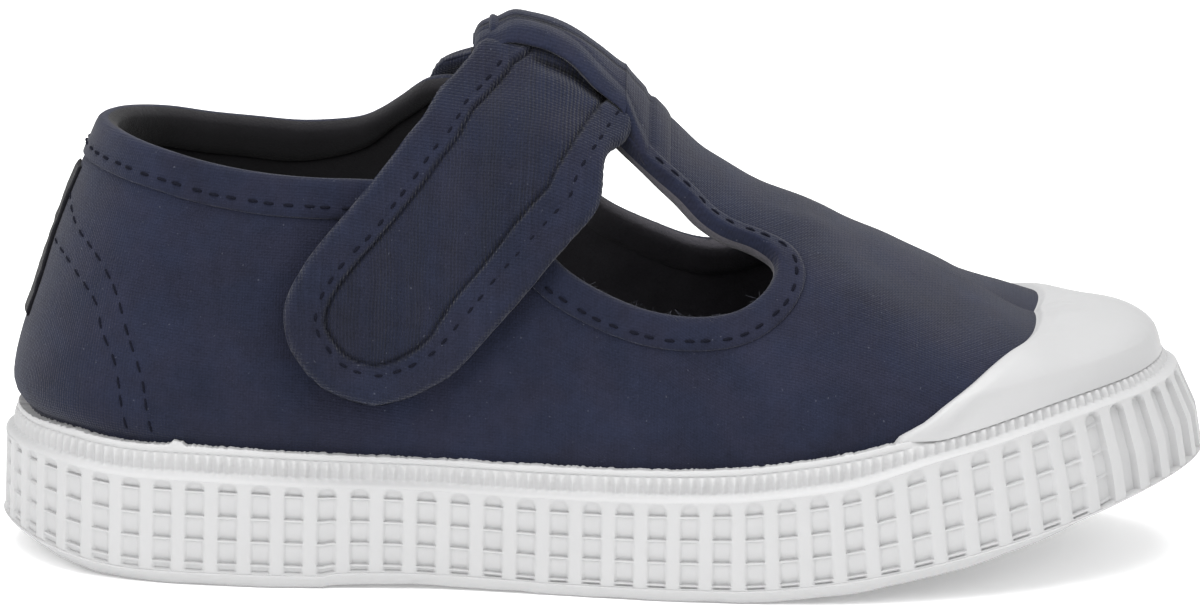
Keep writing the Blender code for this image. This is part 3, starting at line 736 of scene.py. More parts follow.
def fuzz(points, size, seed):
    """Repeatable roughness between -1 and 1 at points, with lumps of a size in millimetres."""
    shift = Vector((seed * 17.3, seed * 5.1, seed * 9.7))
    values = [noise.noise(Vector(p) / size + shift) for p in points.reshape(-1, 3)]
    return np.array(values).reshape(points.shape[:-1])


# Mesh helpers
def mesh_object(name, points, faces, material, cloth=None, extra=None):
    """Object from points in millimetres, with cloth coordinates and other values kept on its points."""
    mesh = bpy.data.meshes.new(name)
    mesh.from_pydata((np.asarray(points, dtype=float) * MM).tolist(), [], faces)
    mesh.polygons.foreach_set("use_smooth", [True] * len(mesh.polygons))
    if cloth is not None:
        spot = np.zeros((len(points), 3))
        spot[:, :2] = cloth
        layer = mesh.attributes.new("cloth", "FLOAT_VECTOR", "POINT")
        layer.data.foreach_set("vector", spot.ravel())
    for key, values in (extra or {}).items():
        layer = mesh.attributes.new(key, "FLOAT", "POINT")
        layer.data.foreach_set("value", np.asarray(values, dtype=float).ravel())
    mesh.materials.append(material)
    mesh.update()
    item = bpy.data.objects.new(name, mesh)
    bpy.context.scene.collection.objects.link(item)
    return item


def grid_faces(rows, columns, ring=False, start=0, flip=False, keep=None):
    """Four-sided faces of a grid whose points go row by row."""
    faces = []
    last = columns if ring else columns - 1
    for r in range(rows - 1):
        for c in range(last):
            if keep is not None and not keep[r, c]:
                continue
            n = (c + 1) % columns
            face = (
                start + r * columns + c,
                start + r * columns + n,
                start + (r + 1) * columns + n,
                start + (r + 1) * columns + c,
            )
            faces.append(face[::-1] if flip else face)
    return faces


def tidy_mesh(item, merge=0.00001, sharp=None):
    """Points closer than the merge distance joined, normals outward, edges over an angle kept sharp."""
    work = bmesh.new()
    work.from_mesh(item.data)
    bmesh.ops.remove_doubles(work, verts=work.verts, dist=merge)
    bmesh.ops.dissolve_degenerate(work, edges=work.edges, dist=0.000001)
    bmesh.ops.recalc_face_normals(work, faces=work.faces)
    work.to_mesh(item.data)
    work.free()
    if sharp:
        item.data.set_sharp_from_angle(angle=sharp)
    return item


def sheet(name, above, below, material, cloth, merge, sharp=None, extra=None, rim=()):
    """Piece with a face above and a face below on one grid, which meet at its rim."""
    rows, columns = above.shape[:2]
    count = rows * columns
    kept = {key: np.concatenate([values.ravel(), np.zeros(count)]) for key, values in (extra or {}).items()}
    item = mesh_object(
        name,
        np.concatenate([above.reshape(-1, 3), below.reshape(-1, 3)]),
        grid_faces(rows, columns) + grid_faces(rows, columns, False, count, True) + list(rim),
        material,
        np.concatenate([cloth.reshape(-1, 2)] * 2),
        kept,
    )
    return tidy_mesh(item, merge, sharp)


class Bundle:
    """Many small things joined in one mesh."""

    def __init__(self):
        self.points = []
        self.faces = []

    def tube(self, path, radius, sides=6, flat=None, squash=1.0):
        """Closed tube along a path of points, thinner at its ends; flat is the direction it is pressed in."""
        path = [Vector(p) for p in path]
        start = len(self.points)
        count = len(path)
        for k, point in enumerate(path):
            along = (path[min(k + 1, count - 1)] - path[max(k - 1, 0)]).normalized()
            up = Vector(flat[k]) if flat is not None else Vector((0.13, 0.21, 0.97))
            side = along.cross(up)
            side = side.normalized() if side.length > 1e-6 else Vector((1, 0, 0))
            up = side.cross(along).normalized()
            end = min(k, count - 1 - k) / max(1, (count - 1) / 2)
            size = radius * (0.55 + 0.45 * min(1.0, end * 2.2))
            for j in range(sides):
                turn = 2 * math.pi * j / sides
                spot = point + side * (math.cos(turn) * size)
                self.points.append(spot + up * (math.sin(turn) * size * squash))
        self.faces += grid_faces(count, sides, True, start)
        self.faces.append(tuple(start + j for j in reversed(range(sides))))
        self.faces.append(tuple(start + (count - 1) * sides + j for j in range(sides)))

    def stitches(self, points, normals, pitch, length, radius, lift, wobble=0.0):
        """Row of stitches along a path: each one comes up, lies on the cloth and goes down again."""
        run = length_run(points)
        count = int(run[-1] / pitch)
        for n in range(count):
            start = (n + 0.5) * run[-1] / count - length / 2
            start += wobble * math.sin(n * 2.3) * 0.5
            places = start + np.linspace(0.0, length, 6)
            line = np.stack([np.interp(places, run, points[:, k]) for k in range(3)], axis=1)
            ups = np.stack([np.interp(places, run, normals[:, k]) for k in range(3)], axis=1)
            rise = (np.sin(np.linspace(0.0, math.pi, 6)) ** 0.6 * 1.15 - 0.75) * radius * 1.6 + lift
            across = wobble * math.sin(n * 1.7 + 0.4) * 0.12
            drift = unit(np.cross(ups, np.gradient(line, axis=0)))
            path = line + ups * rise[:, None] + drift * across
            self.tube(path, radius, 6, ups, 0.75)

    def make(self, name, material):
        return mesh_object(name, [tuple(p) for p in self.points], self.faces, material)


# Colours in linear light
NAVY = (0.0106, 0.0124, 0.0245, 1.0)
TAPE_NAVY = tuple(c * 0.98 for c in NAVY[:3]) + (1.0,)
STRAP_NAVY = (0.0100, 0.0118, 0.0232, 1.0)
LINING_BLACK = (0.0105, 0.0100, 0.0115, 1.0)
PILE_BLACK = (0.004, 0.004, 0.006, 1.0)
INSOLE_GREY = (0.018, 0.018, 0.022, 1.0)
THREAD_NAVY = (0.0040, 0.0045, 0.0095, 1.0)
FIBRE_PALE = (0.045, 0.047, 0.062, 1.0)
LINT_PALE = (0.10, 0.105, 0.13, 1.0)
SOLE_WHITE = (0.350, 0.350, 0.353, 1.0)
CAP_WHITE = (0.325, 0.325, 0.328, 1.0)
FLOOR_WHITE = (0.9, 0.9, 0.9, 1.0)


# Materials
class Wire:
    """A shader socket that takes part in plain arithmetic."""

    def __init__(self, paint, socket):
        self.paint = paint
        self.socket = socket

    def calc(self, kind, other=0.0, first=None):
        values = (self if first is None else first, other)
        node = self.paint.tree.nodes.new("ShaderNodeMath")
        node.operation = kind
        for k, value in enumerate(values):
            self.paint.join(value, node.inputs[k])
        return Wire(self.paint, node.outputs[0])

    def __add__(self, other):
        return self.calc("ADD", other)

    __radd__ = __add__

    def __mul__(self, other):
        return self.calc("MULTIPLY", other)

    __rmul__ = __mul__

    def __sub__(self, other):
        return self.calc("SUBTRACT", other)

    def __rsub__(self, other):
        return self.calc("SUBTRACT", self, first=other)

    def sine(self):
        return self.calc("SINE")

    def top(self, other):
        return self.calc("MAXIMUM", other)

    def ramp(self, low, high):
        """0 below low, 1 above high, smooth between."""
        made = self.paint.node(
            "ShaderNodeMapRange",
            {"interpolation_type": "SMOOTHSTEP"},
            {0: self, 1: low, 2: high, 3: 0.0, 4: 1.0},
        )
        return Wire(self.paint, made.outputs[0])


class Paint:
    """Material with a Principled shader and the nodes that feed it."""

    def __init__(self, name, **shader_values):
        self.material = bpy.data.materials.new(name)
        self.material.use_nodes = True
        self.tree = self.material.node_tree
        self.shader = self.tree.nodes["Principled BSDF"]
        for key, value in shader_values.items():
            self.shader.inputs[key.replace("_", " ")].default_value = value

    def join(self, value, socket):
        if isinstance(value, Wire):
            self.tree.links.new(value.socket, socket)
        elif value is not None:
            socket.default_value = value

    def node(self, kind, settings=None, sockets=None):
        made = self.tree.nodes.new(kind)
        for key, value in (settings or {}).items():
            setattr(made, key, value)
        for key, value in (sockets or {}).items():
            self.join(value, made.inputs[key])
        return made

    def out(self, made, key=0):
        return Wire(self, made.outputs[key])

    def vector(self, kind, first, second):
        made = self.node("ShaderNodeVectorMath", {"operation": kind})
        self.join(first, made.inputs[0])
        self.join(second, made.inputs[1])
        return self.out(made)

    def stored(self, name, key="Vector"):
        """Values kept on the mesh's points."""
        return self.out(self.node("ShaderNodeAttribute", {"attribute_name": name}), key)

    def parts(self, vector):
        made = self.node("ShaderNodeSeparateXYZ", None, {0: vector})
        return [self.out(made, k) for k in range(3)]

    def place(self):
        """Place on the object, in millimetres."""
        made = self.node("ShaderNodeTexCoord")
        return self.vector("MULTIPLY", self.out(made, "Object"), (1000.0, 1000.0, 1000.0))

    def noise(self, vector, scale, detail=2.0, rough=0.5):
        made = self.node(
            "ShaderNodeTexNoise",
            None,
            {"Vector": vector, "Scale": scale, "Detail": detail, "Roughness": rough},
        )
        return self.out(made)

    def mix(self, low, high, factor):
        """Mix of two colours."""
        made = self.node("ShaderNodeMix", {"data_type": "RGBA"})
        self.join(factor, made.inputs[0])
        self.join(low, made.inputs[6])
        self.join(high, made.inputs[7])
        return self.out(made, 2)

    def plain(self, colour):
        """One colour as a socket."""
        return self.mix(colour, colour, 0.0)

    def shade(self, colour, factor):
        """Colour made lighter or darker by a factor."""
        made = self.node("ShaderNodeCombineXYZ", None, {0: factor, 1: factor, 2: factor})
        return self.vector("MULTIPLY", colour, self.out(made))

    def bump(self, height, distance, strength=1.0, under=None):
        made = self.node(
            "ShaderNodeBump",
            None,
            {"Height": height, "Distance": distance, "Strength": strength, "Normal": under},
        )
        return self.out(made)

    def feed(self, **wires):
        for key, value in wires.items():
            self.join(value, self.shader.inputs[key.replace("_", " ")])
        return self.material


def weave_of(paint, u, v, pitch, uneven):
    """Height of a plain weave, with yarns of uneven thickness."""
    turn = 2 * math.pi / pitch
    wide = paint.node("ShaderNodeCombineXYZ", None, {0: u * (1.0 / pitch), 1: v * 0.06, 2: 3.0})
    tall = paint.node("ShaderNodeCombineXYZ", None, {0: u * 0.06, 1: v * (1.0 / pitch), 2: 9.0})
    slub_u = paint.noise(paint.out(wide), 1.0, 1.0) - 0.5
    slub_v = paint.noise(paint.out(tall), 1.0, 1.0) - 0.5
    warp = (u * turn + slub_u * (2.2 * uneven)).sine() * 0.5 + 0.5
    weft = (v * turn + slub_v * (2.2 * uneven)).sine() * 0.5 + 0.5
    over = (u * (turn / 2)).sine() * (v * (turn / 2)).sine() * 0.5 + 0.5
    height = warp * over + weft * (1.0 - over)
    return height, slub_u, slub_v


# Pitch of the woven ribs on the strap's panel, in millimetres
PANEL_RIB = 0.46


def canvas(name, colour, pitch=0.40, depth=0.00008, rows=0.0, lint=0.30):
    """Woven canvas, a little brushed: yarns, slubs, soft clouds, pale fibres and painted shade in folds and
    gaps.
    """
    paint = Paint(name, Roughness=0.94, Sheen_Weight=0.10, Sheen_Roughness=0.5)
    paint.shader.inputs["Specular IOR Level"].default_value = 0.06
    u, v, _ = paint.parts(paint.stored("cloth"))
    height, slub_u, slub_v = weave_of(paint, u, v, pitch, 1.0)
    place = paint.place()
    cloud = paint.noise(place, 0.07, 3.0, 0.55) - 0.5
    patchy = paint.noise(place, 0.50, 3.0, 0.6) - 0.5
    grain = paint.noise(place, 2.6, 3.0, 0.65) - 0.5
    level = 1.0 + cloud * 0.80 + patchy * 0.45 + grain * 0.60 + (height - 0.5) * 0.20
    # The stored mask paints shade into the colour: in creases, in gaps and in grooves beside rolled edges.
    level = level + slub_u * (0.12 + rows) + slub_v * 0.08 - paint.stored("painted_shade", "Fac") * 0.55
    warp = (u * (2 * math.pi / PANEL_RIB)).sine() * paint.stored("panel", "Fac")
    level = level + warp * 0.10
    flecks = paint.noise(place, 1.9, 1.0, 0.3).ramp(0.765, 0.81) * lint
    hue = paint.noise(place, 0.16, 2.0, 0.5)
    warm = tuple(c * k for c, k in zip(colour[:3], (1.05, 0.99, 0.97))) + (1.0,)
    cool = tuple(c * k for c, k in zip(colour[:3], (0.96, 1.00, 1.03))) + (1.0,)
    base = paint.mix(warm, cool, hue.ramp(0.35, 0.65))
    base = paint.shade(base, level.top(0.05))
    base = paint.mix(base, LINT_PALE, flecks)
    coarse = paint.bump(patchy * 0.5 + grain * 0.7, 0.00022, 0.6)
    fine = paint.bump(height + slub_u * (0.4 + rows * 2) + slub_v * 0.3 + warp * 0.9, depth, 0.8, coarse)
    return paint.feed(Base_Color=base, Normal=fine)


def pile(name, colour, scale, depth, fade=0.0):
    """Brushed or looped cloth without a clear weave; fade paints light on it, paler towards the toe."""
    paint = Paint(name, Roughness=0.95, Sheen_Weight=0.10, Sheen_Roughness=0.5)
    paint.shader.inputs["Specular IOR Level"].default_value = 0.1
    place = paint.place()
    hair = paint.noise(place, scale, 4.0, 0.7)
    soft = paint.noise(place, scale * 0.12, 2.0, 0.5)
    # Painted light: towards the toe the colour is made up to 1 + fade times paler.
    painted_light = paint.parts(place)[0].ramp(-25.0, 10.0) * fade
    base = paint.shade(paint.plain(colour), (0.55 + hair * 0.6 + soft * 0.35) * (1.0 + painted_light))
    return paint.feed(Base_Color=base, Normal=paint.bump(hair + soft, depth, 0.8))


def rubber(name, colour, roughness, grain, painted_shade):
    """Moulded white rubber: faint flow clouds, fine grain and grey painted shade low down and in the grooves.
    """
    paint = Paint(name, Subsurface_Weight=0.06, Subsurface_Scale=0.002)
    paint.shader.inputs["Subsurface Radius"].default_value = (1.0, 0.9, 0.8)
    place = paint.place()
    cloud = paint.noise(place, 0.06, 3.0, 0.5) - 0.5
    speck = paint.noise(place, 1.1, 3.0, 0.6) - 0.5
    # Painted shade: the stored mask darkens the colour in grooves and recesses, and low down.
    depth = paint.stored("painted_shade", "Fac")
    level = 1.0 + cloud * 0.05 + speck * 0.03 - depth * painted_shade * (0.8 + speck * 0.8)
    base = paint.shade(paint.plain(colour), level)
    rough = roughness + cloud * 0.16 + speck * 0.10
    fine = paint.noise(place, 6.0, 3.0, 0.6)
    wave = paint.noise(place, 0.22, 2.0, 0.5)
    normal = paint.bump(wave, 0.0006, 0.25)
    normal = paint.bump(fine, grain, 0.6, normal)
    return paint.feed(Base_Color=base, Roughness=rough, Normal=normal)


def thread(name, colour):
    """Twisted sewing thread."""
    paint = Paint(name, Roughness=0.85)
    paint.shader.inputs["Specular IOR Level"].default_value = 0.08
    x, y, z = paint.parts(paint.place())
    twist = ((x + y + z) * 14.0).sine()
    speck = paint.noise(paint.place(), 2.0, 2.0, 0.5)
    base = paint.shade(paint.plain(colour), 0.6 + twist * 0.12 + speck * 0.7)
    return paint.feed(Base_Color=base, Normal=paint.bump(twist, 0.00004, 0.6))


def floor_paint(name):
    """Pale matt floor."""
    paint = Paint(name, Roughness=0.8, Emission_Strength=0.22)
    paint.shader.inputs["Emission Color"].default_value = (1.0, 1.0, 1.0, 1.0)
    place = paint.place()
    level = 1.0 + (paint.noise(place, 0.01, 2.0, 0.5) - 0.5) * 0.01
    base = paint.shade(paint.plain(FLOOR_WHITE), level)
    fine = paint.noise(place, 0.8, 2.0, 0.5)
    return paint.feed(Base_Color=base, Normal=paint.bump(fine, 0.0001, 0.1))


# Side of the sole: places of the columns inside one pitch of the ribs, height shares of the cross bars
# and half the height share of a bar
RIB_PLACES = (0.0, 0.10, 0.17, 0.215, 0.255, 0.30, 0.38, 0.50, 0.62, 0.70, 0.745, 0.785, 0.83, 0.90)
CROSS_BARS = (0.145, 0.312, 0.480, 0.658)
BAR_HALF = 0.010

# Teeth of the milled band: number in a pitch, height in millimetres, height shares of foot and head
TEETH_PER_PITCH = 3
TEETH_HEIGHT = 0.62
TEETH_FOOT = 0.800
TEETH_HEAD = 0.930

# Foot and head of the cells between the cross bars
CELL_ENDS = (RIB_BOTTOM[0],) + CROSS_BARS + (RIB_TOP[0],)

# Smooth band under the ribs: height share, inset in millimetres
BAND = (
    (0.0, 0.45),
    (0.006, 0.15),
    (0.020, 0.02),
    (0.050, 0.0),
    (0.080, 0.0),
    (0.090, 0.02),
    (0.097, 0.22),
    (RIB_BOTTOM[0] - 0.004, RIB_BOTTOM[1] * LIP_INSET),
)

# Milled band over the ribs: height share, inset in millimetres, share of the full height of its teeth
MILLED = (
    (RIB_TOP[0], (RIB_BOTTOM[1] + (RIB_TOP[1] - RIB_BOTTOM[1]) * RIB_TOP[0]) * LIP_INSET, 0.0),
    (0.764, 0.32, 0.0),
    (0.776, 0.55, 0.0),
    (0.788, 0.92, 0.05),
    (TEETH_FOOT, 1.42, 0.35),
    (0.806, 1.66, 0.75),
    (0.815, 1.78, 1.0),
    (0.86, 1.80, 1.0),
    (0.905, 1.84, 0.9),
    (0.918, 1.86, 0.55),
    (0.926, 1.86, 0.2),
    (TEETH_HEAD, 1.86, 0.0),
)

# Lip over the milled band: height share, inset in millimetres, share of its ragged rise
LIP = (
    (TEETH_HEAD, 1.86, 0.0),
    (0.938, 1.72, 0.0),
    (0.950, 1.70, 0.0),
    (0.970, 1.74, 0.05),
    (0.990, 1.86, 0.5),
    (1.0, 2.05, 1.0),
    (1.0, 2.5, 1.2),
    (1.0, 3.25, 0.9),
)

# How far heads of ribs and feet of teeth lie higher at the toe, by share of the side height
TOE_RAISE = (
    (0.0, 0.0),
    (RIB_BOTTOM[0], 0.0),
    (RIB_TOP[0], 0.060),
    (TEETH_FOOT, 0.045),
    (TEETH_HEAD, 0.0),
    (1.0, 0.0),
)

# Columns of the table that side_columns makes: the first four and the last four
X, Y, OUT_X, OUT_Y = range(4)
PHASE, SHARE, TUCK_FOOT, PITCH = range(9, 13)


def side_columns(parts):
    """All that the side of the sole needs at each ring angle, with the place inside its pitch."""
    half = station_angles(SIDE_PITCHES, parts)
    ring = whole_ring(half)
    last = len(half) - 1
    table = []
    for k, angle in enumerate(ring):
        share = share_at(angle)
        step = k if k <= last else 2 * last - k
        phase = parts[step % len(parts)] if step < last else 0.0
        pitch = step // len(parts)
        table.append(
            (*plan_point(angle), *plan_outward(angle), under(share), lip_height(share), lean(share),
             smooth(SIDE, 3, share) * EDGE_TUCK, (RUBBER_BOTTOM + GAP) / side_height(share), phase, share,
             smooth(SIDE, 2, share) * EDGE_TUCK, pitch)
        )
    return np.array(table)


def placed_heights(rows, share):
    """Height shares of rows at each column: heads rise at the toe, bars lie lower in front of the heel."""
    raised = np.interp(rows, [r[0] for r in TOE_RAISE], [r[1] for r in TOE_RAISE])[:, None]
    ends = (0.0, RIB_BOTTOM[0], CROSS_BARS[0], CROSS_BARS[-1], RIB_TOP[0], 1.0)
    barred = np.interp(rows, ends, (0.0, 0.0, 1.0, 1.0, 0.0, 0.0))[:, None]
    return (
        rows[:, None]
        + raised * ease(0.70, 0.80, share)[None, :]
        + barred * (0.016 - 0.034 * ease(0.2, 0.5, share))[None, :]
    )


def side_net(columns, rows, insets, lift=0.0):
    """Points on the side of the sole for rows of height shares and insets."""
    x, y, ox, oy, bottom, top, back, tuck_top, start = (columns[:, k] for k in range(PHASE))
    h = placed_heights(rows, columns[:, SHARE])
    tuck = tuck_top * np.maximum(0.0, (h - start) / (1 - start))
    z = bottom + (top - bottom) * h + lift
    shift = back * (z - (bottom + top) / 2)
    inset = insets + tuck
    return np.stack([x - ox * inset - shift, y - oy * inset, z], axis=2)


# How far the ragged lip is lowered in millimetres, and the share of the length of its lump of flash
LIP_DROP = 0.42
FLASH_SHARE = 0.142


def rib_rows():
    """Height shares of the rows between the foot and the head of the ribs."""
    rows = [RIB_BOTTOM[0] - 0.004, RIB_BOTTOM[0], RIB_BOTTOM[0] + 0.008]
    for low, high in zip(CELL_ENDS[:-1], CELL_ENDS[1:]):
        start = low + (BAR_HALF if low != CELL_ENDS[0] else 0.012)
        end = high - (BAR_HALF if high != CELL_ENDS[-1] else 0.012)
        for part in (0.0, 0.05, 0.15, 0.40, 0.70, 1.0):
            rows.append(start + (end - start) * part)
        if high != CELL_ENDS[-1]:
            rows.append(high - BAR_HALF * 0.5)
            rows.append(high + BAR_HALF * 0.7)
    rows += [RIB_TOP[0] - 0.005, RIB_TOP[0]]
    return np.array(sorted(set(round(r, 5) for r in rows)))


def rib_insets(rows, columns):
    """Inset of the ribbed side: proud ribs, grooves with arched heads and wedge cells between cross bars."""
    phase = np.abs(columns[:, PHASE] - 0.5)[None, :]
    share = columns[:, SHARE][None, :]
    half = RIB_SHARE / 2
    groove = ease(half - 0.055, half + 0.012, phase)
    crown = 0.10 * (phase / half) ** 2
    h = rows[:, None]
    near_bar = np.zeros_like(h)
    cell = np.full_like(h, 0.5)
    for low, high in zip(CELL_ENDS[:-1], CELL_ENDS[1:]):
        inside = (h >= low) & (h <= high)
        cell = np.where(inside, 1 - (h - low) / (high - low), cell)
    for bar in CROSS_BARS:
        near_bar = np.maximum(near_bar, 1 - ease(BAR_HALF * 0.75, BAR_HALF * 1.05, np.abs(h - bar)))
    tip = ease(0.895, 0.935, share)
    plain = np.maximum(tip, 1 - ease(0.012, 0.03, share))
    floor_depth = GROOVE_DEPTH * (0.30 + 0.46 * cell ** 4)
    floor_depth = floor_depth * (1 - tip) + tip * GROOVE_DEPTH * 0.85
    depth = floor_depth * (1 - near_bar * (1 - plain)) + near_bar * (1 - plain) * 0.16
    aside = np.clip((0.5 - phase) / (0.5 - half), 0.0, 1.0)
    head = RIB_TOP[0] - 0.030 * aside ** 2
    ends = ease(RIB_BOTTOM[0] - 0.004, RIB_BOTTOM[0] + 0.008, h) * (1 - ease(head - 0.020, head - 0.002, h))
    slope = (RIB_BOTTOM[1] + (RIB_TOP[1] - RIB_BOTTOM[1]) * h) * LIP_INSET
    fade = 1 - ease(RIB_TOP[0] - 0.02, RIB_TOP[0], h)
    return slope + crown * (1 - groove) * fade + depth * groove * ends


def build_sole(material):
    """Rubber sole: ribbed side with cross bars, milled band, ragged lip, footbed rim and tread."""
    points = []
    faces = []
    painted_shade = []

    # Each net carries a level of painted shade, which darkens the rubber.
    def add(net, ring=True, flip=False, painted_shade_level=0.0):
        rows, count = net.shape[:2]
        start = sum(len(p) for p in points)
        points.append(net.reshape(-1, 3))
        painted_shade.append(np.broadcast_to(np.asarray(painted_shade_level, dtype=float), (rows, count)).reshape(-1))
        faces.extend(grid_faces(rows, count, ring, start, flip))

    wide = side_columns(RIB_PLACES)
    count = len(wide)
    rows = rib_rows()
    insets = rib_insets(rows, wide)
    net = side_net(wide, rows, insets)
    wear = fuzz(net[0], 9.0, 1)[None, :] * 0.05
    net[:, :, :2] -= wide[:, [OUT_X, OUT_Y]][None] * wear[..., None]
    # Painted shade deeper in the grooves and cells, and towards the bottom of the side.
    add(net, painted_shade_level=np.clip(insets / 1.4, 0, 1) * 0.6 + 0.4 * (1 - ease(0.1, 0.3, rows[:, None])))

    band, band_in = np.array(BAND).T
    edge = wide[:, TUCK_FOOT][None, :]
    tucked = edge * (1 - ease(0.0, 0.10, band))[:, None]
    scallop = 0.5 + 0.5 * np.sin(wide[:, PITCH] * 2.1 + wide[:, PHASE] * 2.1)
    lumps = fuzz(wide[:, [X, Y, SHARE]], 2.4, 3)
    low_edge = (scallop * 0.12 + lumps * 0.12)[None, :] * (1 - ease(0.0, 0.06, band))[:, None]
    bottom = side_net(wide, band, band_in[:, None] + tucked, np.maximum(low_edge, 0.0))
    add(bottom, painted_shade_level=0.5)

    fine = side_columns(tuple(k / 18 for k in range(18)))
    teeth = (np.cos(fine[:, PHASE] * 2 * math.pi * TEETH_PER_PITCH) * 0.5 + 0.5) ** 1.3 * TEETH_HEIGHT
    levels, body, proud = np.array(MILLED).T[..., None]
    flat = np.stack([fine[:, X], fine[:, Y], fine[:, SHARE] * 0], axis=1)
    ragged = fuzz(flat, 3.0, 5)
    milled = side_net(fine, levels[:, 0], body - teeth[None, :] * proud * (0.9 + 0.35 * ragged))
    # Painted shade in the valleys between the teeth.
    add(milled, painted_shade_level=0.25 + 0.5 * proud * (1 - teeth[None, :] / TEETH_HEIGHT))

    crest = fuzz(flat, 0.7, 7)
    grit = fuzz(flat, 0.33, 9)
    swell = fuzz(flat, 5.0, 8)
    spikes = np.maximum(crest - 0.52, 0.0) * 1.5 * ease(-0.1, 0.4, swell)
    lip, lip_in, rise = np.array(LIP).T[..., None]
    capped = ease(0.755, 0.79, fine[:, SHARE])[None, :]
    flash = bell(fine[:, SHARE], FLASH_SHARE, 0.006) * (0.7 + 0.3 * grit) * (fine[:, Y] < 0)
    rough = 0.02 + 0.10 * crest + 0.24 * grit + 0.16 * swell + spikes + 0.8 * flash
    lift = rise * rough[None, :] * (1 - capped) - (LIP_DROP + 0.1 * capped) * rise
    sunk = 0.6 * capped * ease(0.930, 0.945, lip)
    top = side_net(fine, lip[:, 0], lip_in + sunk + (0.05 * crest + 0.06 * grit)[None, :] * rise, lift)
    # Painted shade rising up the lip to where it tucks under the canvas.
    add(top, painted_shade_level=0.1 + 0.3 * rise)

    half = (count - 2) // 2
    strips = 14
    tread = np.zeros((half + 1, strips + 1, 3))
    ring = bottom[0]
    for j in range(half + 1):
        a = ring[j]
        b = ring[(count - j) % count]
        t = np.linspace(0.0, 1.0, strips + 1)[:, None]
        tread[j] = a * (1 - t) + b * t
    share = tread[:, :, 0] / LENGTH + 0.5
    base = np.vectorize(under)(np.clip(share, 0.0, 1.0))
    inner = ease(0.0, 1.2, np.minimum(np.arange(strips + 1), strips - np.arange(strips + 1))[None, :])
    cut = np.zeros_like(share)
    for channel in CHANNELS:
        away = np.abs(share - channel) * LENGTH
        cut = np.maximum(cut, 1 - ease(CHANNEL_WIDTH * 0.42, CHANNEL_WIDTH * 0.58, away))
    tread[:, :, 2] = tread[:, :, 2] * (1 - inner) + (base + cut * CHANNEL_DEPTH) * inner
    # Painted shade under the tread.
    add(tread, ring=False, painted_shade_level=0.9)
    item = mesh_object("sole_rubber", np.concatenate(points), faces, material,
                       extra={"painted_shade": np.concatenate(painted_shade)})
    return tidy_mesh(item, 0.000004, 0.9)


# Upper
SHELL_COLUMNS = 400
SHELL_ROWS = 74


def inside_opening(points, margin):
    """Whether points lie in the opening of their side, seen from the side, grown by a margin."""
    found = np.zeros(points.shape[:2], dtype=bool)
    x = points[..., 0]
    z = points[..., 2]
    for quarter, side in ((QUARTER_LATERAL, -1), (QUARTER_MEDIAL, 1)):
        outline = opening_outline(quarter, margin)
        hit = np.zeros_like(found)
        for k in range(len(outline)):
            x0, z0 = outline[k - 1]
            x1, z1 = outline[k]
            if z0 == z1:
                continue
            crosses = (z0 > z) != (z1 > z)
            hit ^= crosses & (x < (x1 - x0) * (z - z0) / (z1 - z0) + x0)
        found |= hit & ((points[..., 1] * side) >= -0.2)
    return found


def build_shell(canvas_paint, lining_paint):
    """Canvas and lining of the upper, ending inside the bindings of the opening."""
    half = np.array(station_angles(SHELL_COLUMNS // 2, (0.0,)))
    angles = np.concatenate([-half[::-1], half[1:]])
    rises = np.concatenate([[0.0, 0.012, 0.03], np.linspace(0.05, 1.0, SHELL_ROWS)])
    grid_a, grid_r = np.meshgrid(angles, rises)
    skin_points, normals, cloth = NET.at(grid_a, grid_r)
    low = []
    for level in (RUBBER_BOTTOM + GAP, (RUBBER_BOTTOM + GAP) * 1.6):
        low.append([tuple(level_point(a, level, FOOT_INSET)) for a in angles])
    low = np.array(low)
    outward = np.stack([normals[0]] * 2)
    points = np.concatenate([low, skin_points])
    ways = np.concatenate([outward, normals])
    spots = np.concatenate([np.stack([cloth[0]] * 2), cloth])
    spots[0, :, 1] -= 12.0
    spots[1, :, 1] -= 6.0
    rows, count = points.shape[:2]
    centres = (points[:-1, :-1] + points[1:, :-1] + points[1:, 1:] + points[:-1, 1:]) / 4
    keep = ~inside_opening(centres, 1.1)
    thick = np.full((rows, count), CANVAS)
    thick[:2] = CANVAS * 0.8
    inner = points - ways * thick[..., None]
    faces = grid_faces(rows, count, False, 0, False, keep)
    outside = len(faces)
    faces += grid_faces(rows, count, False, rows * count, True, keep)
    item = mesh_object(
        "upper_canvas",
        np.concatenate([points.reshape(-1, 3), inner.reshape(-1, 3)]),
        faces,
        canvas_paint,
        np.concatenate([spots.reshape(-1, 2)] * 2),
    )
    item.data.materials.append(lining_paint)
    slots = np.zeros(len(faces), dtype=int)
    slots[outside:] = 1
    item.data.polygons.foreach_set("material_index", slots)
    drop_loose(item)
    return tidy_mesh(item, 0.000002)


def drop_loose(item):
    """Points that no face uses are taken out."""
    work = bmesh.new()
    work.from_mesh(item.data)
    loose = [v for v in work.verts if not v.link_faces]
    bmesh.ops.delete(work, geom=loose, context="VERTS")
    work.to_mesh(item.data)
    work.free()


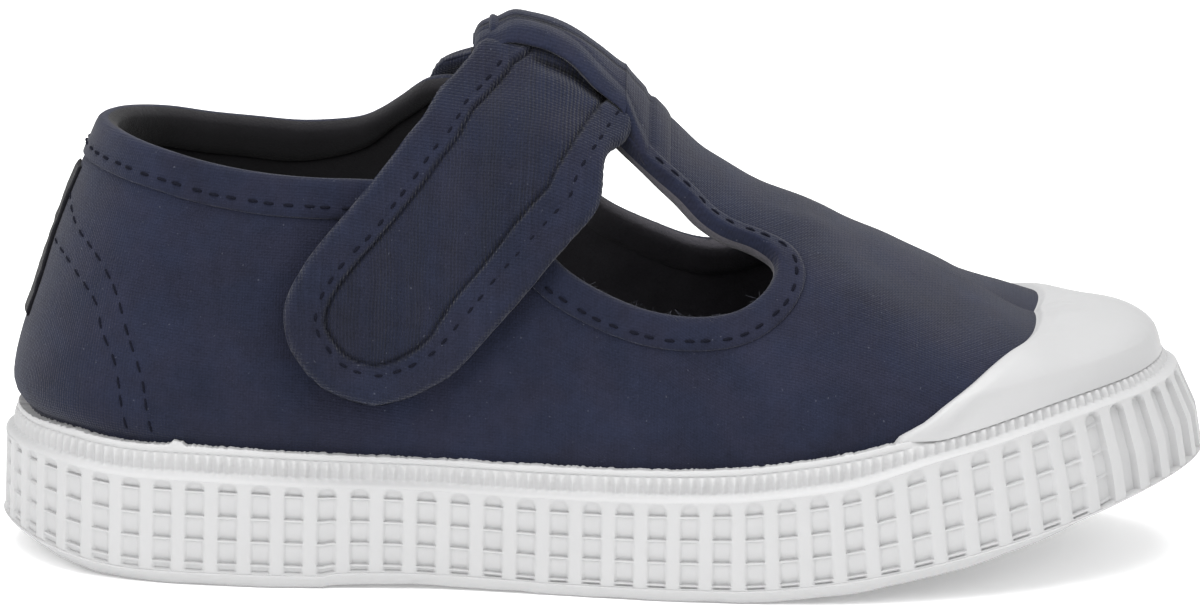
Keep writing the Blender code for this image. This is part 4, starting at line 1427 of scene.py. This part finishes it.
def edge_of_side(quarter, side):
    """Edge of the opening on one side, from the back of the heel to the top of the bar."""
    path = opening_rows(quarter, 6)
    first = next(k for k, row in enumerate(path) if row[0] > length_x(HEEL_FAN) + 2.0)
    xs, heights, tapes = np.array(path[: first + 5]).T
    xs = np.maximum.accumulate(xs)
    stop = math.acos(1 - 2 * (path[first][0] / LENGTH + 0.5))
    turn = np.linspace(0.0, stop, 90)[:-1]
    low = np.full_like(turn, 0.05)
    high = np.full_like(turn, 1.0)
    for _ in range(40):
        middle = (low + high) / 2
        here = NET.at(turn * side, middle)[0]
        above = here[:, 2] > np.interp(here[:, 0], xs, heights)
        high = np.where(above, middle, high)
        low = np.where(above, low, middle)
    heel_tape = np.interp(NET.at(turn * side, low)[0][:, 0], xs, tapes)
    x, z, tape = np.array(path[first:]).T
    angle, rise = NET.find(x, z, side)
    angles = np.concatenate([turn * side, angle])
    rises = np.concatenate([low, rise])
    return angles, rises, np.concatenate([heel_tape, tape])


def whole_edge():
    """Edge of the whole opening: top of the bar on the outer side, round the heel, to the inner side."""
    outer = edge_of_side(QUARTER_LATERAL, -1)
    inner = edge_of_side(QUARTER_MEDIAL, 1)
    joined = [np.concatenate([o[::-1], i[1:]]) for o, i in zip(outer, inner)]
    points = NET.at(joined[0], joined[1])[0]
    angles, rises, tape = even_path(joined, points, 0.55)
    return soften(angles, 3), soften(rises, 3), soften(tape, 12)


def side_ways(angles, rises):
    """Unit ways along the skin, square to a path, to its left as seen from outside."""
    points, normals, _ = NET.at(angles, rises)
    return unit(np.cross(normals, soften(np.gradient(points, axis=0), 6)))


def band_net(angles, rises, ways, section, width, fat=None):
    """Net of a band along a path: the section gives shares of the width and heights over the skin."""
    rows = []
    spots = []
    for share, beyond, height, stays in section:
        reach = np.asarray(width) * share + beyond
        a, r = NET.walk(angles, rises, ways * reach[:, None])
        rise = height * (np.ones(len(a)) if fat is None or stays else fat)
        points, normals, cloth = NET.at(a, r)
        rows.append(points + normals * rise[:, None])
        spots.append(cloth)
    return np.stack(rows), np.stack(spots)


# Front corner of the inner cut-out: share of the length, and how far the tape stands up there
FAR_CORNER = 0.666
FAR_CORNER_RISE = 2.2

# Section of a binding: share of its width, millimetres more, height over the skin, whether it keeps height
BINDING = (
    (1.0, 0.00, -0.30, True),
    (1.0, 0.02, 0.22, False),
    (1.0, -0.14, 0.46, False),
    (0.80, 0.00, 0.55, False),
    (0.60, 0.00, 0.56, False),
    (0.42, 0.00, 0.60, False),
    (0.25, 0.00, 0.66, False),
    (0.12, 0.00, 0.62, False),
    (0.0, 0.20, 0.38, False),
    (0.0, -0.04, 0.02, True),
    (0.0, -0.18, -0.55, True),
    (0.0, -0.18, -1.25, True),
    (0.0, -0.02, -1.80, True),
    (0.0, 0.30, -2.20, True),
    (0.35, 0.00, -2.35, True),
    (0.70, 0.00, -2.30, True),
    (0.95, 0.00, -2.15, True),
    (1.0, 0.00, -1.60, True),
)


# Row of the section from which the lining shows, and how much fatter the tape is along the bar
BINDING_INSIDE = 10
BAR_FAT = 2.0


def build_binding(edge, material, lining_paint):
    """Bound edge of the collar, the cut-outs and the bar, folded over the canvas."""
    angles, rises, tape = edge
    points = NET.at(angles, rises)[0]
    ways = side_ways(angles, rises)
    bar_x = [length_x(s) for s, _ in BAR_EDGE]
    bar_z = [h * TOP_HEIGHT for _, h in BAR_EDGE]
    bar = (points[:, 2] > np.interp(points[:, 0], bar_x, bar_z) - 2.5) & (points[:, 0] > length_x(0.38))
    fat = soften(np.where(bar, BAR_FAT, 1.0), 10)
    ripple = fuzz(points, 3.2, 11) * 0.10 + fuzz(points, 9.0, 12) * 0.10
    net, cloth = band_net(angles, rises, ways, BINDING, tape, fat + ripple)
    corner = bell(points[:, 0], length_x(FAR_CORNER), 2.6) * (points[:, 1] > 0)
    net[..., 2] += (corner * ease(0.50, 0.60, points[:, 2] / TOP_HEIGHT) * FAR_CORNER_RISE)[None, :]
    rows, count = net.shape[:2]
    item = mesh_object("edge_binding", net.reshape(-1, 3), grid_faces(rows, count), material,
                       cloth.reshape(-1, 2))
    item.data.materials.append(lining_paint)
    slots = np.repeat((np.arange(rows - 1) >= BINDING_INSIDE).astype(int), count - 1)
    item.data.polygons.foreach_set("material_index", slots)
    return tidy_mesh(item), ways, fat


# Strap: width of its bound edge, distance of its stitches from the edge, and radius of its rim
STRAP_TAPE = 5.5
STRAP_STITCH = 4.0
STRAP_ROUND = 1.05

# Place and share where the front edge bends towards the loop, and the slope of its tape from there
STRAP_BEND = 0.52
STRAP_BEND_SHARE = 0.4845
STRAP_STRAIGHT = 0.155

# Place, and how far the rear and front edges swell out of the loop there, as shares of the length
STRAP_SWELL = (
    (-0.912, 0.0, 0.0),
    (-0.400, 0.0, 0.0),
    (-0.350, 0.0080, 0.0040),
    (-0.310, 0.0171, 0.0130),
    (-0.270, 0.0240, 0.0180),
    (-0.235, 0.0255, 0.0180),
    (-0.200, 0.0195, 0.0150),
    (-0.150, 0.0130, 0.0080),
    (-0.120, 0.0080, 0.0030),
    (-0.090, 0.0, 0.0),
    (0.600, 0.0, 0.0),
)


def strap_distance(place):
    """Distance of the strap's under face from the skin: low on the bar, over the patch on the quarter."""
    high = GAP + PATCH_THICK + GAP
    return GAP + (high - GAP) * ease(STRAP_ON_BAR, STRAP_ON_QUARTER, np.abs(place))


def wrap_angles(share, place):
    """Ring angle and rise of a share of the length and a place round the foot."""
    angle = np.arccos(np.clip(1 - 2 * np.asarray(share), -1.0, 1.0))
    side = np.where(np.asarray(place) < 0, -1.0, 1.0)
    return angle * side, 1 - np.abs(place)


def strap_outline(tape=False):
    """Outline of the strap, or of its tape: up the rear edge from the inner side, round the end and back."""
    rows = curve_through(STRAP, 8)
    rear = [(strap_rear(r[0]), r[0]) for r in reversed(rows)]
    front = [(strap_front_line(r[0]) if tape else strap_front(r[0]), r[0]) for r in rows]
    shares = np.array([r[0] for r in rear + front])
    places = np.array([r[1] for r in rear + front])
    points = NET.at(*wrap_angles(shares, places))[0]
    shares, places = even_path([shares, places], points, 0.35)
    return soften(shares, 6), soften(places, 6)


def strap_cover(place):
    """1 where the strap passes through the loop, 0 beside it."""
    return 1 - ease(0.115, 0.165, np.abs(place))


def strap_rear(place):
    """Rear edge of the strap, which swells out behind the loop."""
    return smooth(STRAP, 1, place) - smooth(STRAP_SWELL, 1, place)


def strap_front(place):
    """Front edge of the strap, which swells out before the loop."""
    return smooth(STRAP, 2, place) + smooth(STRAP_SWELL, 2, place)


def strap_front_line(place):
    """Front edge as the tape and stitches follow it: straight on past the bend beside the loop."""
    straight = STRAP_BEND_SHARE + STRAP_STRAIGHT * (STRAP_BEND - abs(place))
    return max(strap_front(place), straight) if -STRAP_BEND < place < 0 else strap_front(place)


def build_strap(material):
    """Ankle strap: bound edge, sunk panel, rounded end."""
    trees = []
    for tape in (False, True):
        shares, places = strap_outline(tape)
        rim = NET.at(*wrap_angles(shares, places))[0]
        tree = kdtree.KDTree(len(rim))
        for k, point in enumerate(rim):
            tree.insert(Vector(point), k)
        tree.balance()
        trees.append(tree)
    edge = [s / 20 for s in (0.0, 0.02, 0.06, 0.14, 0.26, 0.42, 0.62, 0.85)]
    across = np.array(edge + list(np.linspace(0.06, 0.94, 84)) + [1 - s for s in reversed(edge)])
    ends = [STRAP[0][0] + 0.0006 * k ** 1.8 for k in range(12)]
    rows = ends + list(np.arange(ends[-1] + 0.0045, STRAP[-1][0], 0.0045)) + [STRAP[-1][0]]
    grid_s = np.zeros((len(rows), len(across)))
    grid_p = np.zeros_like(grid_s)
    for k, place in enumerate(rows):
        rear = strap_rear(place)
        grid_s[k] = rear + (strap_front(place) - rear) * across
        grid_p[k] = place
    angle, rise = wrap_angles(grid_s, grid_p)
    points, normals, cloth = NET.at(angle, rise)
    gap, within = [np.array([tree.find(Vector(p))[2] for p in points.reshape(-1, 3)]).reshape(grid_s.shape)
                   for tree in trees]
    gap[0, :] = 0.0
    gap[:, 0] = 0.0
    gap[:, -1] = 0.0
    low = strap_distance(np.array(rows))[:, None]
    flat = strap_cover(grid_p)
    bow = rim_bow(gap, STRAP_ROUND)
    ahead = ease(0.45, 0.60, across)[None, :] * (1 - ease(0.70, 0.83, -grid_p))
    tape_wide = STRAP_TAPE * (0.93 + 0.25 * ahead)
    tape = 1 - ease(tape_wide - 0.15, tape_wide + 0.20, within)
    crease = bell(within - tape_wide, 0.22, 0.30)
    rim_rise = tape * (STRAP_EDGE_RISE + 0.12 + 0.12 * np.sin(np.pi * np.clip(within / tape_wide, 0, 1)))
    dent = bell(within, STRAP_STITCH, 0.45) * 0.10
    beside = bell(-grid_p, 0.185, 0.030) * ease(0.425, 0.455, grid_s)
    low = low - 0.8 * beside
    # Painted shadow on the strap under the loop's edge.
    loop_shadow = bell(-grid_p, 0.172, 0.014) * ease(0.425, 0.445, grid_s)
    belly = 0.25 * ease(STRAP_TAPE, STRAP_TAPE + 5.0, gap)
    top = STRAP_THICK / 2 + (rim_rise + belly) * (1 - 0.85 * flat) - (crease * 0.34 + dent) * (1 - flat)
    rough = fuzz(points, 7.0, 21) * 0.10
    middle = low + STRAP_THICK / 2
    above = points + normals * (middle + (top + rough) * bow)[..., None]
    below = points + normals * (middle - STRAP_THICK / 2 * bow)[..., None]
    # Painted shade in the crease beyond the tape and in the shadow under the loop.
    kept = {"panel": 1 - tape, "painted_shade": crease * 0.9 + loop_shadow * 1.6}
    return sheet("strap_cloth", above, below, material, cloth, 0.000006, extra=kept)


def strap_stitch_path():
    """Line of the strap's stitches, inside its edge, with the normals there."""
    shares, places = strap_outline(True)
    a, r = wrap_angles(shares, places)
    ways = side_ways(a, r)
    a, r = NET.walk(a, r, ways * STRAP_STITCH)
    place = 1 - r
    low = strap_distance(place)
    points, normals, _ = NET.at(a, r)
    keep = (place > 0.20) | (np.abs(places) > 0.20)
    return points + normals * (low + STRAP_THICK + STRAP_EDGE_RISE + 0.02)[:, None], normals, keep


# Loop of the bar: share of length, place round the foot of its rolled edges
LOOP_EDGE = (
    (0.385, 0.160),
    (0.402, 0.162),
    (0.425, 0.152),
    (0.444, 0.147),
    (0.458, 0.160),
    (0.477, 0.197),
    (0.496, 0.215),
    (0.510, 0.240),
    (0.529, 0.315),
    (0.545, 0.330),
    (0.560, 0.345),
)

# Radius of the loop's rolled edges, Y of the line of painted shade along its far half, and share of the
# length of its sewn pucker
ROLL_ROUND = 1.60
FAR_LINE = -0.9
LOOP_PUCKER = 0.5345


def build_loop(material):
    """Loop at the top of the bar: a folded strip with fat rolled edges, sewn down at its front."""
    tunnel = GAP + STRAP_THICK + GAP
    table = [(s, tunnel if below else -CANVAS / 2, t * (tunnel + LOOP_THICK)) for s, below, t in LOOP]
    rows = curve_through(table + [(0.5560, -CANVAS / 2, -0.1)], 5)
    shares = np.array([r[0] for r in rows])
    across = np.concatenate([[-1.0, -0.996, -0.985, -0.965, -0.935], np.linspace(-0.90, 0.90, 47),
                             [0.935, 0.965, 0.985, 0.996, 1.0]])
    reach = np.array([smooth(LOOP_EDGE, 1, s) for s in shares])
    wave = fuzz(np.stack([shares * LENGTH, shares * 0, shares * 0], axis=1), 3.5, 33)
    grid_s = np.broadcast_to(shares[:, None], (len(shares), len(across)))
    grid_p = (reach * (1 + 0.03 * wave))[:, None] * across[None, :]
    angle, rise = wrap_angles(grid_s, grid_p)
    points, normals, cloth = NET.at(angle, rise)
    half = np.linalg.norm(np.diff(points, axis=1), axis=2).sum(axis=1)[:, None] / 2
    inside = (1 - np.abs(across))[None, :] * half
    roll = bell(inside, ROLL_ROUND * 0.9, 0.85)
    groove = bell(inside, ROLL_ROUND * 1.9, 0.30)
    bow = rim_bow(inside, ROLL_ROUND)
    top = np.array([r[2] for r in rows])[:, None]
    low = np.array([r[1] for r in rows])[:, None]
    back = bell(shares, 0.4020, 0.0110)[:, None] * 1.25
    front = ease(0.520, 0.552, shares)[:, None]
    ripple = fuzz(points, 4.0, 31) * 0.14
    pucker = bell(shares[:, None], LOOP_PUCKER, 0.0028) * 0.38
    high = top + (0.22 * roll - 0.16 * groove) * (1 - front) + ripple * (0.5 + roll) - pucker - back
    floor = low - 0.85 * roll * (low > 0)
    middle = (high + floor) / 2
    above = points + normals * (middle + (high - middle) * bow)[..., None]
    below = points + normals * (middle - (middle - floor) * bow)[..., None]
    rim = []
    last, columns = above.shape[0] - 1, above.shape[1]
    count = (last + 1) * columns
    for start, sign in ((0, 1), (last * columns, -1)):
        for c in range(start, start + columns - 1):
            rim.append((c, c + 1, count + c + 1, count + c)[::sign])
    far = bell(points[..., 1], FAR_LINE, 0.4)
    above = above - normals * (far * 0.18 * (1 - front))[..., None]
    # Painted shade in the groove beside each roll, along the far line and in the sewn pucker.
    shadow = (groove * 0.25 + far * 1.2) * (1 - front) + 0.25 * np.clip(pucker, 0, 1)
    return sheet("bar_loop", above, below, material, cloth, 0.000006, 1.2, {"painted_shade": shadow}, rim)


# Toe cap
# Height share and length share of the cap's rear edge, from the thin run-out along the lip upwards
CAP_LINE = ((0.2275, 0.690), (0.2760, 0.700)) + tuple((height, share) for share, height in reversed(CAP_EDGE))


def cap_edge_x(z):
    """Length where the rear edge of the cap is at a height, in side view."""
    return length_x(smooth(CAP_LINE, 1, z / TOP_HEIGHT))


# Inset of the foot of the cap from the sole's outline, and how far the toe is blunter than the skin
CAP_SKIRT = 1.50
CAP_BLUNT = 0.6


def build_cap(material):
    """Moulded toe cap: smooth rubber whose rear edge runs out thin along the lip of the sole."""
    rises = np.concatenate([[0.0, 0.012, 0.03, 0.05], np.linspace(0.075, 1.0, 54)])
    low = np.full_like(rises, math.acos(1 - 2 * 0.60))
    high = np.full_like(rises, math.pi - 0.001)
    borders = []
    for side in (-1, 1):
        lo = low.copy()
        hi = high.copy()
        for _ in range(40):
            middle = (lo + hi) / 2
            here = NET.over(middle * side, rises, np.full_like(rises, GAP + CAP_THICK))
            edge = np.array([cap_edge_x(z) for z in here[:, 2]])
            past = here[:, 0] > edge
            hi = np.where(past, middle, hi)
            lo = np.where(past, lo, middle)
        borders.append(soften(lo, 1))
    across = np.concatenate([[0.0, 0.0015, 0.004, 0.008, 0.014], np.linspace(0.022, 0.978, 120),
                             [0.986, 0.992, 0.996, 0.9985, 1.0]])
    start = -borders[0][:, None]
    end = borders[1][:, None] - 2 * math.pi
    angle = start + (end - start) * across[None, :]
    rise = np.broadcast_to(rises[:, None], angle.shape)
    points, normals, _ = NET.at(angle, rise)
    away = np.minimum(
        np.linalg.norm(points - points[:, :1], axis=2),
        np.linalg.norm(points - points[:, -1:], axis=2),
    )
    thick = GAP + CAP_THICK
    thin = ease(0.0, 0.9, away) * 0.55 + 0.45 * ease(0.0, 4.0, away)
    foot = ease(0.0, 0.10, rise)
    distance = (thick - 0.05) * thin + 0.02 * (1 - thin) + (1 - foot) * 0.1
    distance = distance + fuzz(points, 11.0, 41) * 0.10 * thin
    distance[:, 0] = -0.25
    distance[:, -1] = -0.25
    blunt = ease(0.90, 0.975, (1 - np.cos(angle)) / 2) * (1 - ease(0.70, 0.95, rise))
    net = points + normals * (distance + CAP_BLUNT * blunt)[..., None]
    net[0] = net[0] - np.array([0.0, 0.0, 0.5])
    cover = ease(0.765, 0.80, (1 - np.cos(angle[0])) / 2)[:, None]
    ring = np.array([tuple(side_point(a, TEETH_HEAD + 0.002, CAP_SKIRT)) for a in angle[0]])
    last = int(np.searchsorted(rises, 0.13))
    for k in range(last):
        part = k / last
        run = ring * (1 - part) + net[last] * part + normals[last] * (0.5 * part * (1 - part))
        net[k] = run * cover + net[k] * (1 - cover)
    rows, count = net.shape[:2]
    # Painted shade along the cap's rim, where it meets the canvas, and at its foot on the sole.
    item = mesh_object("cap_rubber", net.reshape(-1, 3), grid_faces(rows, count), material,
                       extra={"painted_shade": 0.25 * (1 - ease(0.0, 1.2, away)) + 0.3 * (1 - foot)})
    return tidy_mesh(item, 0.000004)


# Patch, heel tab and insole
def build_pad(name, angle, rise, thick, low, seed, rough, material):
    """Closed pad on the skin, with a lumpy face and a rounded rim."""
    points, normals, cloth = NET.at(angle, rise)
    rows, columns = angle.shape
    u = np.linspace(0.0, 1.0, columns)[None, :]
    v = np.linspace(0.0, 1.0, rows)[:, None]
    gap = np.minimum(np.minimum(u, 1 - u) * columns, np.minimum(v, 1 - v) * rows)
    bow = rim_bow(gap, 2.0)
    lumps = fuzz(points, rough, seed) * 0.14
    middle = low + thick / 2
    above = points + normals * (middle + (thick / 2 + lumps) * bow)[..., None]
    below = points + normals * (middle - thick / 2 * bow)[..., None]
    return sheet(name, above, below, material, cloth, 0.000006)


def build_patch(material):
    """Patch of looped pile under the end of the strap."""
    places = np.linspace(PATCH[0][0], PATCH[-1][0], 40)
    rear = np.array([smooth(PATCH, 1, p) for p in places])
    front = np.array([smooth(PATCH, 2, p) for p in places])
    u = np.linspace(0.0, 1.0, 44)[None, :]
    share = rear[:, None] + (front - rear)[:, None] * u
    angle, rise = wrap_angles(share, np.broadcast_to(places[:, None], share.shape))
    return build_pad("patch_pile", angle, rise, PATCH_THICK, GAP, 51, 0.8, material)


# Rises of the foot and the head of the heel tab
LABEL_RISES = (0.17, 0.44)


def build_label(material):
    """Plain dark tab down the back of the heel."""
    reach = LABEL_WIDTH * 0.3 / math.sqrt(HEEL_RADIUS * LENGTH / 2)
    angle, rise = np.meshgrid(np.linspace(-reach, reach, 36), np.linspace(*LABEL_RISES, 60))
    return build_pad("heel_tab", angle, rise, LABEL_THICK, -0.12, 61, 1.5, material)


def build_insole(material):
    """Cloth-covered insole with a shallow dish and turned-up rim."""
    half = station_angles(110, (0.0,))
    inset = FOOT_INSET + CANVAS + GAP * 0.5
    ring = [level_point(a, RUBBER_BOTTOM + GAP + INSOLE_THICK, inset) for a in whole_ring(half)]
    count = len(ring)
    last = len(half) - 1
    strips = 28
    t = np.linspace(0.0, 1.0, strips + 1)
    net = np.zeros((last + 1, strips + 1, 3))
    for j in range(last + 1):
        a = np.array(ring[j])
        b = np.array(ring[(count - j) % count])
        net[j] = a[None, :] * (1 - t[:, None]) + b[None, :] * t[:, None]
    gap = np.minimum(t, 1 - t)[None, :] * np.linalg.norm(net[:, 0] - net[:, -1], axis=1)[:, None]
    net[:, :, 2] += 0.35 * bell(gap, 0.0, 2.0) - 0.5 * ease(2.0, 12.0, gap)
    net[:, :, 2] += fuzz(net, 12.0, 71) * 0.12
    rows, columns = net.shape[:2]
    item = mesh_object("insole_cloth", net.reshape(-1, 3), grid_faces(rows, columns), material,
                       net.reshape(-1, 3)[:, :2])
    return tidy_mesh(item, 0.000004)


# Pitch of the stitches and radius of their thread, in millimetres
STITCH_PITCH = 2.5
STITCH_ROUND = 0.20

# Seams of the heel: ring angle and rise of places down each seam
HEEL_SEAMS = (
    ((0.052, 0.394), (0.384, 0.322), (0.524, 0.272), (0.611, 0.194), (0.672, 0.117), (0.707, 0.015)),
    ((0.087, 0.311), (0.288, 0.289), (0.463, 0.239), (0.524, 0.189), (0.593, 0.128), (0.637, 0.015)),
)


def build_stitches(edge, ways, fat, material):
    """All visible rows of stitches, as one bundle."""
    bundle = Bundle()
    angles, rises, tape = edge
    inset = np.clip(tape - 1.15, 1.1, 3.9)
    a, r = NET.walk(angles, rises, ways * inset[:, None])
    points, normals, _ = NET.at(a, r)
    lifted = points + normals * (0.58 * fat)[:, None]
    bundle.stitches(lifted, normals, STITCH_PITCH, 1.55, STITCH_ROUND, 0.0, 0.5)
    for side in (-1, 1):
        for seam in HEEL_SEAMS:
            path = np.array(curve_through(seam, 12))
            points, normals, _ = NET.at(path[:, 0] * side, path[:, 1])
            bundle.stitches(points, normals, 2.6, 2.0, 0.16, 0.0, 0.4)
    points, normals, keep = strap_stitch_path()
    runs = np.split(np.arange(len(keep)), np.where(np.diff(keep.astype(int)) != 0)[0] + 1)
    for run in runs:
        if keep[run[0]] and len(run) > 8:
            bundle.stitches(points[run], normals[run], STITCH_PITCH, 1.5, STITCH_ROUND, 0.0, 0.5)
    return bundle.make("stitches", material)


# Fibres at each point of the rim, and the radius of a fibre in millimetres
FIBRES_AT_A_POINT = 2
FIBRE_ROUND = 0.022


def build_fibres(edge, material):
    """Loose fibres on the rim of the cut-outs."""
    bundle = Bundle()
    points, normals, _ = NET.at(edge[0], edge[1])
    x = points[:, 0] / LENGTH + 0.5
    low = (points[:, 2] < 0.56 * TOP_HEIGHT) & (x > 0.44)
    seed = 0
    for n in np.where(low)[0]:
        for _ in range(FIBRES_AT_A_POINT):
            seed += 1
            where = Vector([math.sin(seed * k) for k in (12.9, 78.2, 37.7)])
            start = Vector(points[n]) - Vector(normals[n]) * (0.7 + 0.7 * math.sin(seed * 3.1))
            bend = Vector([math.sin(seed * k) for k in (5.3, 9.1, 2.7)])
            size = 0.5 + 0.55 * abs(math.sin(seed * 1.9))
            path = [start + (where * t + bend * t * t * 0.7) * size for t in (0.0, 0.33, 0.66, 1.0)]
            bundle.tube(path, FIBRE_ROUND, 3)
    return bundle.make("loose_fibres", material)


# Everything together
def build_all():
    """All pieces; those that stand for a node of the part hide it, and all hang from the root body."""
    cloth = canvas("navy_canvas_woven", NAVY)
    tape = canvas("navy_binding_woven", TAPE_NAVY, 0.40, 0.00006, lint=0.45)
    strap_cloth = canvas("navy_strap_woven", STRAP_NAVY, 0.42, 0.00012, 0.35)
    # The lining gets painted light towards the toe.
    lining = pile("dark_lining", LINING_BLACK, 3.0, 0.0002, 5.0)
    pieces = {}
    pieces["sole"] = build_sole(rubber("white_sole_rubber", SOLE_WHITE, 0.60, 0.00004, 0.02))
    pieces["upper"] = build_shell(cloth, lining)
    edge = whole_edge()
    binding, ways, fat = build_binding(edge, tape, lining)
    pieces["strap"] = build_strap(strap_cloth)
    loop = build_loop(tape)
    pieces["toe_cap"] = build_cap(rubber("white_cap_rubber", CAP_WHITE, 0.50, 0.00003, 0.06))
    pieces["fastener_patch"] = build_patch(pile("black_pile", PILE_BLACK, 2.2, 0.0004))
    pieces["heel_label"] = build_label(canvas("dark_tab_woven", PILE_BLACK, 0.5, 0.0001, lint=0.1))
    pieces["insole"] = build_insole(canvas("grey_insole_woven", INSOLE_GREY, 0.7, 0.00015))
    stitches = build_stitches(edge, ways, fat, thread("dark_thread", THREAD_NAVY))
    fibres = build_fibres(edge, pile("pale_fibre", FIBRE_PALE, 1.0, 0.0001))
    for node, item in pieces.items():
        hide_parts(node)
        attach(item, "root")
    for item in (binding, loop, stitches, fibres):
        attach(item, "root")


# Camera: width of the photograph in pixels, millimetres in a pixel, point it aims at in millimetres,
# angle down and roll in degrees, and distance in metres
IMAGE_WIDTH = 1200
PIXEL = 0.1309
VIEW_CENTRE = (-0.26, 0.0, 32.5)
VIEW_ELEVATION = 13.0
VIEW_ROLL = 0.8
VIEW_DISTANCE = 0.9

# Lights: name, place and width in metres, and power in watts
LIGHTS = (
    ("overhead", (0.0, -0.15, 0.9), 0.9, 10.6),
    ("front_left", (-0.7, -0.8, 0.6), 0.6, 6.6),
    ("front_right", (0.8, -0.7, 0.5), 0.6, 3.3),
)
LIGHT_AIM = (0.0, 0.0, 0.03)
WORLD_STRENGTH = 0.86

# Floor: half its width in metres, and squares in a row
FLOOR_HALF = 6.0
FLOOR_SQUARES = 12


def build_stage():
    """Floor, soft lights and the camera."""
    mesh = bpy.data.meshes.new("floor")
    line = [FLOOR_HALF * (i / FLOOR_SQUARES - 0.5) * 2 for i in range(FLOOR_SQUARES + 1)]
    mesh.from_pydata([(x, y, 0.0) for y in line for x in line], [], grid_faces(len(line), len(line)))
    floor = bpy.data.objects.new("floor", mesh)
    bpy.context.scene.collection.objects.link(floor)
    mesh.materials.append(floor_paint("pale_floor"))
    bpy.context.scene.view_settings.view_transform = "Standard"
    world = bpy.data.worlds.new("studio")
    bpy.context.scene.world = world
    world.use_nodes = True
    shade = world.node_tree.nodes["Background"]
    shade.inputs["Color"].default_value = (1.0, 1.0, 1.0, 1.0)
    shade.inputs["Strength"].default_value = WORLD_STRENGTH
    for name, place, width, power in LIGHTS:
        data = bpy.data.lights.new(name, "AREA")
        data.shape = "SQUARE"
        data.size = width
        data.energy = power
        lamp = bpy.data.objects.new(name, data)
        bpy.context.scene.collection.objects.link(lamp)
        lamp.location = place
        aim = Vector(LIGHT_AIM) - Vector(place)
        lamp.rotation_euler = aim.to_track_quat("-Z", "Y").to_euler()
    data = bpy.data.cameras.new("camera")
    data.type = "ORTHO"
    data.ortho_scale = IMAGE_WIDTH * PIXEL * MM
    data.clip_start = 0.01
    data.clip_end = 10.0
    camera = bpy.data.objects.new("camera", data)
    bpy.context.scene.collection.objects.link(camera)
    tilt = math.radians(VIEW_ELEVATION)
    look = Vector((0.0, math.cos(tilt), -math.sin(tilt)))
    turned = look.to_track_quat("-Z", "Y").to_matrix() @ Matrix.Rotation(math.radians(VIEW_ROLL), 3, "Z")
    centre = Vector(VIEW_CENTRE) * MM
    camera.matrix_world = Matrix.Translation(centre - look * VIEW_DISTANCE) @ turned.to_4x4()
    bpy.context.scene.camera = camera


build_all()
build_stage()
